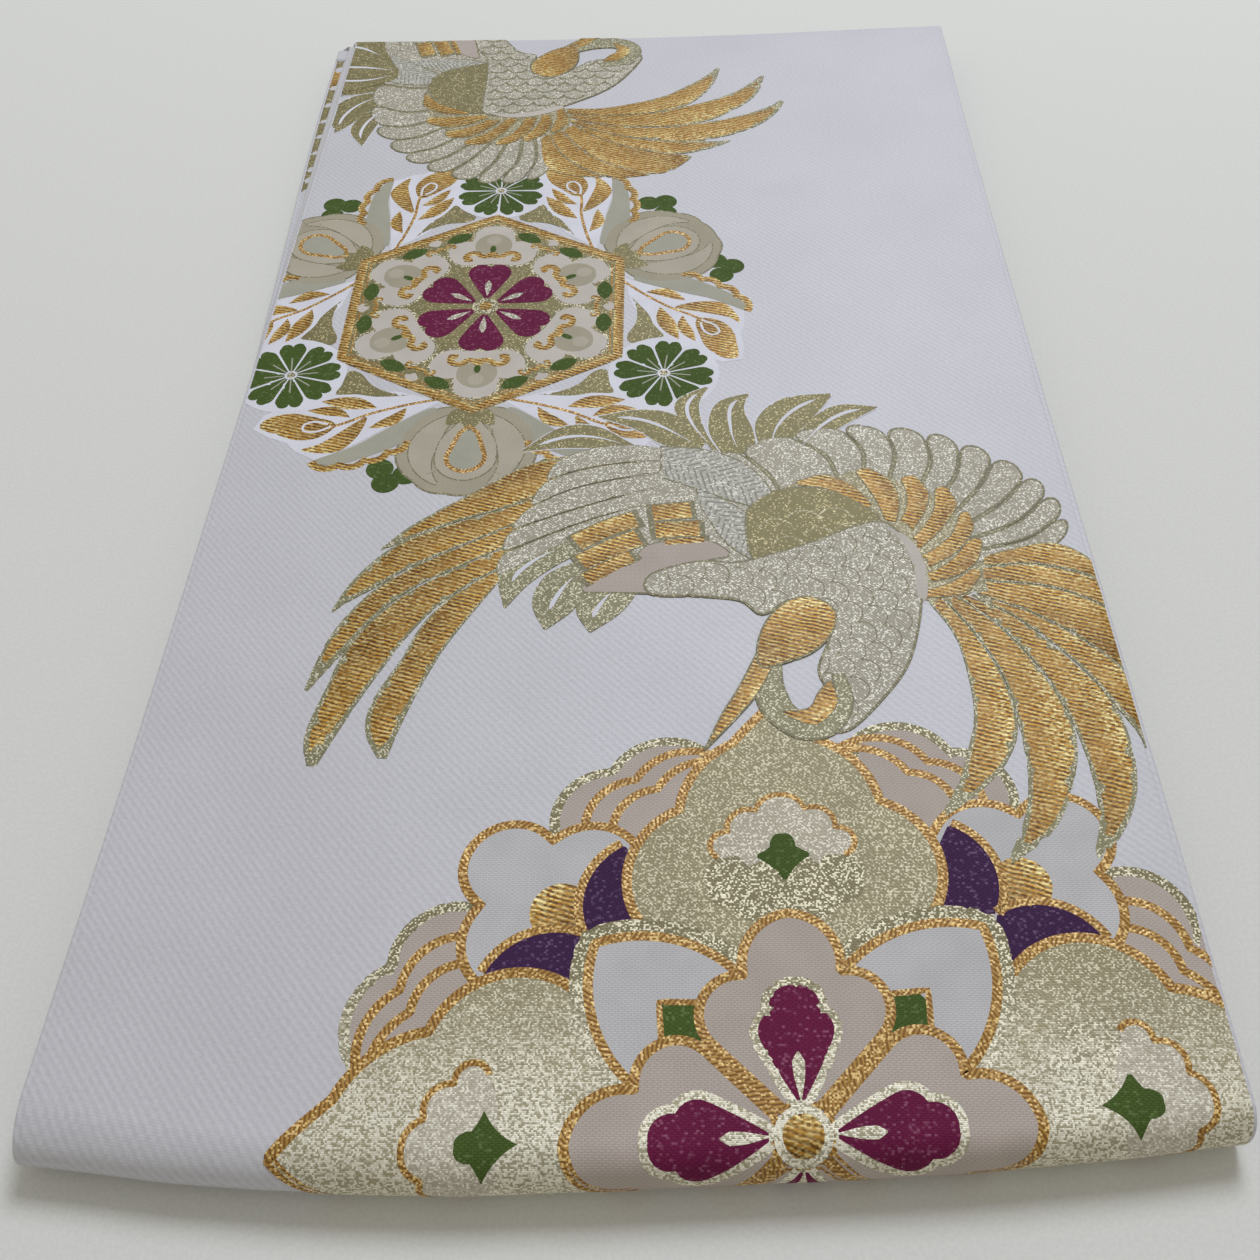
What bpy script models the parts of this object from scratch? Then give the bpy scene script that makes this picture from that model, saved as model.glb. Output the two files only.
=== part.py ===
"""A woven silk obi sash, folded by halves into eight plies and lying flat.

Metres, +Z up, +X across the sash, +Y along it. The face of the top ply looks up.
The plies are numbered from the top, 1 to 8. The cloth runs through them like this:

    te end - 7 ) 2 ( 3 ) 6 ( 5 ) 4 ( 1 ) 8 - tare end      ) near fold, ( far fold

Plies 1, 2, 3 and 8 show and are pieces of their own, each with the folds it turns
into. Plies 4 to 7 are hidden but for their edges, and share one block that is
layered round its rim. Where one piece runs on in the next they stand a seam apart.
"""

from collections import namedtuple
from math import cos, radians, sin, sqrt

import bpy
import numpy as np

# The cloth: face, core and lining as one wall.
PLY = 0.0015
PLY_GAP = 0.0004
SEAM = 0.0003
PLIES = 8

PITCH = PLY + PLY_GAP
HALF_PLY = PLY / 2
STACK = PLIES * PLY + (PLIES - 1) * PLY_GAP

# How many spans each piece has across, along a flat run and round a fold.
SPANS_ACROSS = 12
SPANS_TOP = 26
SPANS_PLAIN = 14
SPANS_NEAR_FOLD = 12
SPANS_FAR_FOLD = 8
EDGE_ANGLES = (30, -30)

# How far each ply's piece runs on under the fold before its seam.
TOP_RUN_UNDER = 0.028
SECOND_RUN_UNDER = 0.020
THIRD_RUN_UNDER = 0.012
TOP_RUN_BACK = 0.040
SECOND_RUN_BACK = 0.010

# The free ends stop short of the far fold by this much.
TE_END_BACK = 0.008
TARE_END_BACK = 0.012

# The block of hidden plies: how deep its grooves are beside the plies, how deep the
# crease is where two of them are one fold, and how its corners are cut.
GROOVE = 0.0025
STEP_IN = 0.0005
CREASE = 0.00015
BLOCK_CORNER = 0.012

# The long edges of the top ply, from the near end to the far end.
Edge = namedtuple("Edge", "y left right")
TOP_EDGES = (
    Edge(-0.288, -0.1570, 0.1554),
    Edge(-0.200, -0.1558, 0.1556),
    Edge(0.000, -0.1545, 0.1550),
    Edge(0.150, -0.1537, 0.1555),
    Edge(0.292, -0.1530, 0.1562),
)

# The near fold bows forward in the middle. It is softest at the left corner.
NearFold = namedtuple("NearFold", "x front depth")
NEAR_FOLD = (
    NearFold(-0.160, -0.2815, 0.0150),
    NearFold(-0.085, -0.2878, 0.0105),
    NearFold(-0.010, -0.2870, 0.0085),
    NearFold(0.040, -0.2842, 0.0080),
    NearFold(0.090, -0.2815, 0.0075),
    NearFold(0.160, -0.2740, 0.0075),
)

FarFold = namedtuple("FarFold", "x back")
FAR_FOLD = (
    FarFold(-0.165, 0.2870),
    FarFold(0.000, 0.2876),
    FarFold(0.090, 0.2890),
    FarFold(0.160, 0.2915),
)
FAR_FOLD_DEPTH = 0.0055
# The fold of plies 2 and 3 inside it is a tight one, a little further out.
TIGHT_FOLD_OUT = 0.0015

# Where each lower ply lies beside the top one: out past its left edge at the far
# end, and in from its left and right edges at the two ends.
Shift = namedtuple("Shift", "out_far_left in_near_left in_far_right in_near_right")
PLY_SHIFTS = {
    2: Shift(0.0036, 0.0022, 0.0022, 0.0008),
    3: Shift(0.0098, 0.0040, 0.0040, 0.0014),
    4: Shift(0.0046, 0.0058, 0.0012, 0.0020),
    5: Shift(0.0080, 0.0064, 0.0030, 0.0012),
    6: Shift(0.0062, 0.0048, 0.0036, 0.0024),
    7: Shift(0.0070, 0.0052, 0.0016, 0.0018),
    8: Shift(0.0050, 0.0012, 0.0026, 0.0010),
}
SHIFT_START = -0.090
SHIFT_LENGTH = 0.370
SHIFT_NEAR_LENGTH = 0.198

# How deep the block's grooves are at its ends, above each of its plies. Plies 4 and 5
# are one fold at the near end, and plies 5 and 6 at the far end.
Crease = namedtuple("Crease", "near_in far_in")
BLOCK_CREASES = {
    7: Crease(STEP_IN, STEP_IN),
    6: Crease(STEP_IN, CREASE),
    5: Crease(CREASE, STEP_IN),
}

# The top ply lies on soft ridges. The plies under it follow them less and less.
Ridge = namedtuple("Ridge", "x y reach_x reach_y height")
RIDGES = (
    Ridge(0.155, 0.285, 0.110, 0.060, 0.0030),
    Ridge(0.000, -0.245, 0.170, 0.070, 0.0008),
    Ridge(-0.065, 0.050, 0.055, 0.210, 0.0006),
    Ridge(0.100, -0.070, 0.045, 0.150, 0.0006),
    Ridge(-0.010, 0.175, 0.190, 0.032, 0.0005),
    Ridge(-0.110, -0.150, 0.050, 0.080, 0.0004),
)
LOWEST_SWELL = 0.0003
SWELL_SHARE = {1: 1.0, 2: 0.66, 3: 0.33}

# Colour, roughness and metallic value of each piece.
Finish = namedtuple("Finish", "red green blue roughness metallic")
FINISHES = {
    "top_stretch": Finish(0.56, 0.55, 0.66, 0.55, 0.0),
    "second_stretch": Finish(0.66, 0.60, 0.52, 0.60, 0.0),
    "third_stretch": Finish(0.52, 0.50, 0.55, 0.55, 0.0),
    "inner_folds": Finish(0.60, 0.56, 0.52, 0.60, 0.0),
    "under_stretch": Finish(0.54, 0.53, 0.64, 0.55, 0.0),
}


def eased(rows, key, column, at):
    """The column's value at this key, on a smooth curve through the table's rows."""
    keys = [getattr(row, key) for row in rows]
    values = [getattr(row, column) for row in rows]
    at = min(max(at, keys[0]), keys[-1])
    slopes = np.gradient(values, keys)
    i = min(int(np.searchsorted(keys, at, side="right")) - 1, len(keys) - 2)
    span = keys[i + 1] - keys[i]
    t = (at - keys[i]) / span
    rise = t * t * (3 - 2 * t)
    start = t * (1 - t) ** 2 * span * slopes[i]
    end = t * t * (t - 1) * span * slopes[i + 1]
    return values[i] + (values[i + 1] - values[i]) * rise + start + end


def ramp(t):
    t = min(max(t, 0.0), 1.0)
    return t * t * (3 - 2 * t)


def left_edge(ply, y):
    left = eased(TOP_EDGES, "y", "left", y)
    if ply == 1:
        return left
    shift = PLY_SHIFTS[ply]
    far = ramp((y - SHIFT_START) / SHIFT_LENGTH)
    near = ramp((SHIFT_START - y) / SHIFT_NEAR_LENGTH)
    return left - shift.out_far_left * far + shift.in_near_left * near


def right_edge(ply, y):
    right = eased(TOP_EDGES, "y", "right", y)
    if ply == 1:
        return right
    shift = PLY_SHIFTS[ply]
    far = ramp((y - SHIFT_START) / SHIFT_LENGTH)
    return right - shift.in_far_right * far - shift.in_near_right * (1 - far)


def swell(x, y):
    """How far the top ply is raised by the folds under it."""
    rise = LOWEST_SWELL
    for ridge in RIDGES:
        across = (x - ridge.x) / ridge.reach_x
        along = (y - ridge.y) / ridge.reach_y
        rise += ridge.height * np.exp(-across * across - along * along)
    return rise


def mid_height(ply, x, y):
    """The height of the middle of this ply's wall."""
    nominal = STACK - HALF_PLY - (ply - 1) * PITCH
    return nominal + SWELL_SHARE.get(ply, 0.0) * swell(x, y)


def near_turn(x):
    """Where the near fold starts to turn down."""
    return eased(NEAR_FOLD, "x", "front", x) + eased(NEAR_FOLD, "x", "depth", x)


def far_turn(x):
    return eased(FAR_FOLD, "x", "back", x) - FAR_FOLD_DEPTH


def tight_turn(x):
    return far_turn(x) + TIGHT_FOLD_OUT


def near_depth(nesting, x):
    """How far the middle of the wall reaches out from the near turn."""
    return eased(NEAR_FOLD, "x", "depth", x) - HALF_PLY - nesting * PITCH


def far_depth(x):
    return FAR_FOLD_DEPTH - HALF_PLY


def tight_depth(x):
    return PITCH / 2


def across(left, right):
    """Points across the cloth, the first and last where its rounded edges start."""
    return np.linspace(left + HALF_PLY, right - HALF_PLY, SPANS_ACROSS + 1)


def flat_row(ply, start, end, share):
    """One row of a flat run. start and end give y for a place across the cloth."""
    y_middle = start(0.0) + (end(0.0) - start(0.0)) * share
    row = []
    for x in across(left_edge(ply, y_middle), right_edge(ply, y_middle)):
        y = start(x) + (end(x) - start(x)) * share
        row.append(((x, y, mid_height(ply, x, y)), (0.0, 1.0)))
    return row


def flat_run(ply, start, end, spans):
    """Rows of a flat run, with the side up that is outside round the folds."""
    return [flat_row(ply, start, end, i / spans) for i in range(spans + 1)]


def fold_row(upper, lower, turn, depth, way, angle):
    """One row of a fold from the upper ply down to the lower one.

    way is -1 at the near end and 1 at the far end. angle goes from 90 degrees at the
    upper ply to -90 degrees at the lower one.
    """
    share = (90 - angle) / 180
    y_turn = turn(0.0)
    left = left_edge(upper, y_turn) * (1 - share) + left_edge(lower, y_turn) * share
    right = right_edge(upper, y_turn) * (1 - share) + right_edge(lower, y_turn) * share
    out = cos(radians(angle))
    up = sin(radians(angle))
    row = []
    for x in across(left, right):
        y = turn(x)
        top = mid_height(upper, x, y)
        bottom = mid_height(lower, x, y)
        reach = depth(x)
        rise = (top - bottom) / 2
        slope = (way * out / reach, up / rise)
        length = sqrt(slope[0] ** 2 + slope[1] ** 2)
        normal = (slope[0] / length, slope[1] / length)
        row.append(((x, y + way * reach * out, (top + bottom) / 2 + rise * up), normal))
    return row


def fold(upper, lower, turn, depth, way, spans):
    """The rows of a fold between its two plies, without the plies' own rows."""
    angles = [90 - 180 * i / spans for i in range(1, spans)]
    return [fold_row(upper, lower, turn, depth, way, angle) for angle in angles]


def turned_over(rows):
    """The same rows with their outer side down, as it is below a fold."""
    return [[(place, (-ny, -nz)) for place, (ny, nz) in row] for row in rows]


def ring(row, thickness):
    """The closed ring of points round the wall at one row."""
    half = HALF_PLY * thickness

    def offset(place, normal, out, up):
        x, y, z = place
        return (x + out, y + normal[0] * up, z + normal[1] * up)

    points = [offset(place, normal, 0.0, half) for place, normal in row]
    for angle in EDGE_ANGLES:
        out, up = HALF_PLY * cos(radians(angle)), half * sin(radians(angle))
        points.append(offset(*row[-1], out, up))
    points += [offset(place, normal, 0.0, -half) for place, normal in reversed(row)]
    for angle in reversed(EDGE_ANGLES):
        out, up = -HALF_PLY * cos(radians(angle)), half * sin(radians(angle))
        points.append(offset(*row[0], out, up))
    return points


def end_faces(first, size, flip):
    """Quads that close one end of a run, whose ring starts at this point."""
    last = SPANS_ACROSS
    under = size - len(EDGE_ANGLES) - 1
    faces = []
    for i in range(last):
        faces.append((i, i + 1, under - i - 1, under - i))
    faces.append((last, last + 1, last + 2, last + 3))
    faces.append((0, under, under + 1, under + 2))
    faces = [tuple(first + corner for corner in face) for face in faces]
    return [face[::-1] for face in faces] if flip else faces


def ring_faces(rings, size):
    """Quads between each ring and the next."""
    faces = []
    for i in range(rings - 1):
        for j in range(size):
            k = (j + 1) % size
            a, b = i * size, (i + 1) * size
            faces.append((a + j, b + j, b + k, a + k))
    return faces


def rounded_end(row, way):
    """Two more rows that round off a free end, with their thickness."""
    rows = []
    for angle in (35, 68):
        out = way * HALF_PLY * sin(radians(angle))
        moved = [((x, y + out, z), normal) for (x, y, z), normal in row]
        rows.append((moved, cos(radians(angle))))
    return rows


def material(name):
    finish = FINISHES[name]
    made = bpy.data.materials.new(name)
    made.use_nodes = True
    shader = made.node_tree.nodes["Principled BSDF"]
    shader.inputs["Base Color"].default_value = (finish.red, finish.green, finish.blue, 1.0)
    shader.inputs["Roughness"].default_value = finish.roughness
    shader.inputs["Metallic"].default_value = finish.metallic
    return made


def piece(name, points, faces):
    mesh = bpy.data.meshes.new(name)
    mesh.from_pydata([tuple(map(float, point)) for point in points], [], faces)
    mesh.validate()
    mesh.shade_smooth()
    mesh.set_sharp_from_angle(angle=radians(50))
    mesh.materials.append(material(name))
    made = bpy.data.objects.new(name, mesh)
    bpy.context.scene.collection.objects.link(made)
    return made


def cloth(name, rows, free_end=None):
    """A wall of cloth through these rows. free_end rounds off the last row's side."""
    rows = [(row, 1.0) for row in rows]
    if free_end:
        rows += rounded_end(rows[-1][0], free_end)
    rings = [ring(row, thickness) for row, thickness in rows]
    size = len(rings[0])
    points = [point for one in rings for point in one]
    faces = ring_faces(len(rings), size)
    faces += end_faces(0, size, flip=False)
    faces += end_faces((len(rings) - 1) * size, size, flip=True)
    return piece(name, points, faces)


def top_stretch():
    """Ply 1, round the far fold to ply 4 and round the near fold to ply 8."""
    far = fold(1, 4, far_turn, far_depth, 1, SPANS_FAR_FOLD)
    near = fold(1, 8, near_turn, lambda x: near_depth(0, x), -1, SPANS_NEAR_FOLD)
    back = flat_run(4, lambda x: far_turn(x) - TOP_RUN_BACK, far_turn, 3)
    under = flat_run(8, near_turn, lambda x: near_turn(x) + TOP_RUN_UNDER, 2)
    rows = turned_over(back) + far[::-1]
    rows += flat_run(1, far_turn, near_turn, SPANS_TOP)
    rows += near + turned_over(under)
    return cloth("top_stretch", rows)


def second_stretch():
    """Ply 2, round the far fold to ply 3 and round the near fold to ply 7."""
    far = fold(2, 3, tight_turn, tight_depth, 1, SPANS_FAR_FOLD)
    near = fold(2, 7, near_turn, lambda x: near_depth(1, x), -1, SPANS_NEAR_FOLD)
    back = flat_run(3, lambda x: far_turn(x) - SECOND_RUN_BACK, tight_turn, 1)
    under = flat_run(7, near_turn, lambda x: near_turn(x) + SECOND_RUN_UNDER, 2)
    rows = turned_over(back) + far[::-1]
    rows += flat_run(2, tight_turn, near_turn, SPANS_PLAIN)
    rows += near + turned_over(under)
    return cloth("second_stretch", rows)


def third_stretch():
    """Ply 3, from its seam behind the far fold round the near fold to ply 6."""
    near = fold(3, 6, near_turn, lambda x: near_depth(2, x), -1, SPANS_NEAR_FOLD)
    under = flat_run(6, near_turn, lambda x: near_turn(x) + THIRD_RUN_UNDER, 2)
    rows = flat_run(3, lambda x: far_turn(x) - SECOND_RUN_BACK - SEAM, near_turn, SPANS_PLAIN)
    rows += near + turned_over(under)
    return cloth("third_stretch", rows)


def under_stretch():
    """Ply 8, flat on the ground, from its seam under the near fold to the tare end."""
    rows = flat_run(
        8,
        lambda x: near_turn(x) + TOP_RUN_UNDER + SEAM,
        lambda x: far_turn(x) + FAR_FOLD_DEPTH - TARE_END_BACK,
        SPANS_PLAIN,
    )
    return cloth("under_stretch", turned_over(rows), free_end=1)


def block_near(ply, x, z):
    """Where the block's near side is, at this height. Plies 4 and 5 turn into a nose."""
    if ply == 7:
        return near_turn(x) + SECOND_RUN_UNDER + SEAM
    if ply == 6:
        return near_turn(x) + THIRD_RUN_UNDER + SEAM
    return near_turn(x) - nose(4, 5, near_depth(3, x) + HALF_PLY, z)


def block_far(ply, x, z):
    if ply == 7:
        return far_turn(x) + FAR_FOLD_DEPTH - TE_END_BACK
    if ply == 4:
        return far_turn(x) - TOP_RUN_BACK - SEAM
    return far_turn(x) + nose(5, 6, FAR_FOLD_DEPTH, z)


def nose(upper, lower, depth, z):
    """How far the outside of a fold between these plies reaches at this height."""
    top = mid_height(upper, 0, 0) + HALF_PLY
    bottom = mid_height(lower, 0, 0) - HALF_PLY
    rise = 2 * (z - (top + bottom) / 2) / (top - bottom)
    return depth * sqrt(max(0.0, 1 - rise * rise))


def block_ring(plies, z, inset=0.0, near_in=0.0, far_in=0.0):
    """One level ring of the block. It stays inside all of these plies."""
    span = (1 - 2 * BLOCK_CORNER) / SPANS_ACROSS
    shares = [BLOCK_CORNER + span * i for i in range(SPANS_ACROSS + 1)]

    def left(y):
        return max(left_edge(ply, y) for ply in plies) + inset

    def right(y):
        return min(right_edge(ply, y) for ply in plies) - inset

    def near(x):
        return max(block_near(ply, x, z) for ply in plies) + near_in

    def far(x):
        return min(block_far(ply, x, z) for ply in plies) - far_in

    near_left, near_right = left(near(0)), right(near(0))
    far_left, far_right = left(far(0)), right(far(0))
    points = []
    for share in shares:
        x = near_left + (near_right - near_left) * share
        points.append((x, near(x), z))
    for share in shares:
        y = near(near_right) + (far(far_right) - near(near_right)) * share
        points.append((right(y), y, z))
    for share in shares:
        x = far_right + (far_left - far_right) * share
        points.append((x, far(x), z))
    for share in shares:
        y = far(far_left) + (near(near_left) - far(far_left)) * share
        points.append((left(y), y, z))
    return points


def inner_folds():
    """Plies 4 to 7 as one block, whose rim shows each ply's rounded edge."""
    rings = []
    for ply in (7, 6, 5, 4):
        middle = mid_height(ply, 0, 0)
        for angle in (-90, -30, 30, 90):
            rise = HALF_PLY * sin(radians(angle))
            inset = HALF_PLY * (1 - cos(radians(angle)))
            rings.append(block_ring([ply], middle + rise, inset))
        if ply in BLOCK_CREASES:
            pair = [ply, ply - 1]
            crease = BLOCK_CREASES[ply]
            for z in (middle + HALF_PLY, middle + HALF_PLY + PLY_GAP):
                rings.append(block_ring(pair, z, GROOVE, crease.near_in, crease.far_in))
    size = len(rings[0])
    points = [point for one in rings for point in one]
    faces = [face[::-1] for face in ring_faces(len(rings), size)]
    faces.append(tuple(reversed(range(size))))
    faces.append(tuple(range((len(rings) - 1) * size, len(rings) * size)))
    return piece("inner_folds", points, faces)


def stand_on_origin(pieces):
    """Moves every mesh so that the middle of the underside is the origin."""
    points = np.array([vertex.co for made in pieces for vertex in made.data.vertices])
    low, high = points.min(axis=0), points.max(axis=0)
    for made in pieces:
        for vertex in made.data.vertices:
            vertex.co.x -= (low[0] + high[0]) / 2
            vertex.co.y -= (low[1] + high[1]) / 2
            vertex.co.z -= low[2]


for old in list(bpy.data.objects):
    bpy.data.objects.remove(old, do_unlink=True)
stand_on_origin(
    [top_stretch(), second_stretch(), third_stretch(), inner_folds(), under_stretch()]
)
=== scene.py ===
# A folded brocade sash: the cloth of every ply, the woven motifs, and how the threads look.
import bpy
import numpy as np
from math import atan, atan2, cos, degrees, pi, radians, sin, tan
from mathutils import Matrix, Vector
from mathutils.geometry import delaunay_2d_cdt


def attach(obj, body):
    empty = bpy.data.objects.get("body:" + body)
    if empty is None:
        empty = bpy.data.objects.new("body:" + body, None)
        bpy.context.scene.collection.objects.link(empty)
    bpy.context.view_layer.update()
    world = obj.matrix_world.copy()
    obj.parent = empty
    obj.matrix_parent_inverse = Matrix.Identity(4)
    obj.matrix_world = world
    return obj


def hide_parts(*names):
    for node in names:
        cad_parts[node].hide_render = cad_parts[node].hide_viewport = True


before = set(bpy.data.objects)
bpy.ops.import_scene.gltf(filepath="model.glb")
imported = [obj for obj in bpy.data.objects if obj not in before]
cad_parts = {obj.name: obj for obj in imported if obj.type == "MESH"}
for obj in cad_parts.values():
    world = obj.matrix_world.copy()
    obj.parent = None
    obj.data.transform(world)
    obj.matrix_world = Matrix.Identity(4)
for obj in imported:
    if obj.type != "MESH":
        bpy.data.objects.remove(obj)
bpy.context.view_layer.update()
print("frame loaded:", sorted(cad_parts))

mm = 0.001

# How the cloth lies.

sash = {
    "wall": 1.40 * mm,  # face, core and lining together, a little thinner than its solid
    "ply": 1.50 * mm,
    "gap": 0.40 * mm,
    "plies": 8,
    "centre": (-3.367 * mm, 1.575 * mm),  # the bundle's middle, as the tables below measure it
    # y, left edge, right edge of the top ply
    "edges": (
        (-0.288, -0.1570, 0.1554),
        (-0.200, -0.1558, 0.1556),
        (0.000, -0.1545, 0.1550),
        (0.150, -0.1537, 0.1555),
        (0.292, -0.1530, 0.1562),
    ),
    # x, front, depth
    "nearFold": (
        (-0.160, -0.2815, 0.0150),
        (-0.085, -0.2878, 0.0105),
        (-0.010, -0.2870, 0.0085),
        (0.040, -0.2842, 0.0080),
        (0.090, -0.2815, 0.0075),
        (0.160, -0.2740, 0.0075),
    ),
    # x, back
    "farFold": ((-0.165, 0.2870), (0.000, 0.2876), (0.090, 0.2890), (0.160, 0.2915)),
    "farDepth": 5.5 * mm,
    "tightOut": 1.5 * mm,
    # where each lower ply lies: out at the far left, in at the near left, in at the far
    # right and in at the near right
    "shifts": {
        1: (0.0, 0.0, 0.0, 0.0),
        2: (0.0036, 0.0022, 0.0022, 0.0008),
        3: (0.0098, 0.0040, 0.0040, 0.0014),
        4: (0.0046, 0.0058, 0.0012, 0.0020),
        5: (0.0080, 0.0064, 0.0030, 0.0012),
        6: (0.0062, 0.0048, 0.0036, 0.0024),
        7: (0.0070, 0.0052, 0.0016, 0.0018),
        8: (0.0050, 0.0012, 0.0026, 0.0010),
    },
    "shiftStart": -0.090,
    "shiftLength": 0.370,
    "shiftNearLength": 0.198,
    # x, y, reach in x, reach in y, height of the ridges that the top ply lies on
    "ridges": (
        (0.155, 0.285, 0.110, 0.060, 0.0030),
        (0.000, -0.245, 0.170, 0.070, 0.0008),
        (-0.065, 0.050, 0.055, 0.210, 0.0006),
        (0.100, -0.070, 0.045, 0.150, 0.0006),
        (-0.010, 0.175, 0.190, 0.032, 0.0005),
        (-0.110, -0.150, 0.050, 0.080, 0.0004),
    ),
    "lowestSwell": 0.3 * mm,
    "swellShare": {1: 1.0, 2: 0.66, 3: 0.33},
    # x, y, angle, half length, half width and height of the soft creases in the top ply
    "creases": (
        (-0.120, -0.215, 62, 0.070, 0.009, 0.00022),
        (-0.075, -0.120, 48, 0.060, 0.012, -0.00020),
        (-0.135, 0.010, 84, 0.090, 0.006, 0.00018),
        (0.120, 0.060, 97, 0.085, 0.011, 0.00024),
        (0.070, 0.150, 22, 0.055, 0.010, -0.00020),
        (0.138, 0.200, 80, 0.060, 0.008, 0.00026),
        (0.020, 0.262, 6, 0.095, 0.008, 0.00022),
        (0.010, -0.125, -35, 0.050, 0.012, 0.00018),
        (0.135, -0.150, 88, 0.075, 0.007, -0.00016),
    ),
    # x, half width and height of the ripples that run round the near fold
    "ripples": (
        (-0.118, 0.011, 0.00030),
        (-0.082, 0.008, -0.00022),
        (-0.040, 0.013, 0.00026),
        (0.006, 0.009, -0.00020),
        (0.052, 0.012, 0.00024),
        (0.094, 0.008, -0.00018),
        (0.128, 0.010, 0.00022),
    ),
    # how far each piece runs on past a fold before its seam
    "topUnder": 28 * mm,
    "secondUnder": 20 * mm,
    "thirdUnder": 12 * mm,
    "topBack": 40 * mm,
    "secondBack": 10 * mm,
    "seam": 0.02 * mm,
    "teEnd": 8 * mm,
    "tareEnd": 12 * mm,
    "seamLine": 1.7 * mm,  # from the edge, where face and lining are sewn together
    "seamGroove": 0.16 * mm,
    "seamWidth": 0.35 * mm,
    "aroundFold": 0.985,  # share of the way round a fold that a motif may take
}
halfWall = sash["wall"] / 2
halfPly = sash["ply"] / 2
pitch = sash["ply"] + sash["gap"]
stackHeight = sash["plies"] * sash["ply"] + (sash["plies"] - 1) * sash["gap"]


def eased(rows, column, at):
    keys = np.array([row[0] for row in rows])
    values = np.array([row[column] for row in rows])
    slopes = np.gradient(values, keys)
    at = np.clip(at, keys[0], keys[-1])
    i = np.clip(np.searchsorted(keys, at, side="right") - 1, 0, len(keys) - 2)
    span = keys[i + 1] - keys[i]
    t = (at - keys[i]) / span
    rise = t * t * (3 - 2 * t)
    ends = t * (1 - t) ** 2 * slopes[i] + t * t * (t - 1) * slopes[i + 1]
    return values[i] + (values[i + 1] - values[i]) * rise + ends * span


def ramp(t):
    t = np.clip(t, 0.0, 1.0)
    return t * t * (3 - 2 * t)


def leftEdge(ply, y):
    outFar, inNear, _, _ = sash["shifts"][ply]
    far = ramp((y - sash["shiftStart"]) / sash["shiftLength"])
    near = ramp((sash["shiftStart"] - y) / sash["shiftNearLength"])
    return eased(sash["edges"], 1, y) - outFar * far + inNear * near


def rightEdge(ply, y):
    _, _, inFar, inNear = sash["shifts"][ply]
    far = ramp((y - sash["shiftStart"]) / sash["shiftLength"])
    return eased(sash["edges"], 2, y) - inFar * far - inNear * (1 - far)


def crease(x, y):
    rise = 0.0
    for atX, atY, angle, reach, width, height in sash["creases"]:
        along = (x - atX) * cos(radians(angle)) + (y - atY) * sin(radians(angle))
        aside = (y - atY) * cos(radians(angle)) - (x - atX) * sin(radians(angle))
        rise = rise + height * np.exp(-((along / reach) ** 2) - (aside / width) ** 2)
    return rise


def ripple(x):
    rise = 0.0
    for atX, width, height in sash["ripples"]:
        rise = rise + height * np.exp(-(((x - atX) / width) ** 2))
    return rise


def midHeight(ply, x, y):
    swell = sash["lowestSwell"]
    for atX, atY, reachX, reachY, height in sash["ridges"]:
        swell = swell + height * np.exp(-(((x - atX) / reachX) ** 2) - ((y - atY) / reachY) ** 2)
    rise = stackHeight - halfPly - (ply - 1) * pitch + sash["swellShare"].get(ply, 0.0) * swell
    return rise + crease(x, y) if ply == 1 else rise


def nearTurn(x):
    return eased(sash["nearFold"], 1, x) + eased(sash["nearFold"], 2, x)


def farTurn(x):
    return eased(sash["farFold"], 1, x) - sash["farDepth"]


def shifted(turn, by):
    return lambda x: turn(x) + by


def nearDepth(ply):
    return lambda x: eased(sash["nearFold"], 2, x) - halfPly - (ply - 1) * pitch


def farDepth(x):
    return sash["farDepth"] - halfPly + 0 * x


tightTurn = shifted(farTurn, sash["tightOut"])
# each fold is half an ellipse: its two plies, where it turns, its depth and its way
folds = {
    "topNear": (1, 8, nearTurn, nearDepth(1), -1),
    "secondNear": (2, 7, nearTurn, nearDepth(2), -1),
    "thirdNear": (3, 6, nearTurn, nearDepth(3), -1),
    "innerNear": (4, 5, nearTurn, nearDepth(4), -1),
    "topFar": (1, 4, farTurn, farDepth, 1),
    "tightFar": (2, 3, tightTurn, lambda x: pitch / 2 + 0 * x, 1),
    "innerFar": (5, 6, farTurn, farDepth, 1),
}


def foldEdges(fold, share):
    upper, lower, turn, _, _ = folds[fold]
    y = turn(0.0)
    left = leftEdge(upper, y) * (1 - share) + leftEdge(lower, y) * share
    right = rightEdge(upper, y) * (1 - share) + rightEdge(lower, y) * share
    return left, right


def foldPoint(fold, x, angle):
    upper, lower, turn, depth, way = folds[fold]
    y = turn(x)
    top = midHeight(upper, x, y)
    bottom = midHeight(lower, x, y)
    out = np.cos(np.radians(angle))
    up = np.sin(np.radians(angle))
    reach = depth(x)
    rise = (top - bottom) / 2
    normalY = way * out / reach
    normalZ = up / rise
    length = np.sqrt(normalY**2 + normalZ**2)
    normal = np.stack([0 * x, normalY / length, normalZ / length], -1)
    point = np.stack([x, y + way * reach * out, (top + bottom) / 2 + rise * up], -1)
    if fold == "topNear":
        point = point + normal * (ripple(x) * out**2)[..., None]
    return point, normal


def foldLength(fold, x):
    # the way round the outside of half an ellipse
    upper, lower, turn, depth, _ = folds[fold]
    a = depth(x) + halfWall
    b = (midHeight(upper, x, turn(x)) - midHeight(lower, x, turn(x))) / 2 + halfWall
    h = ((a - b) / (a + b)) ** 2
    return pi / 2 * (a + b) * (1 + 3 * h / (10 + np.sqrt(4 - 3 * h)))


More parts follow.
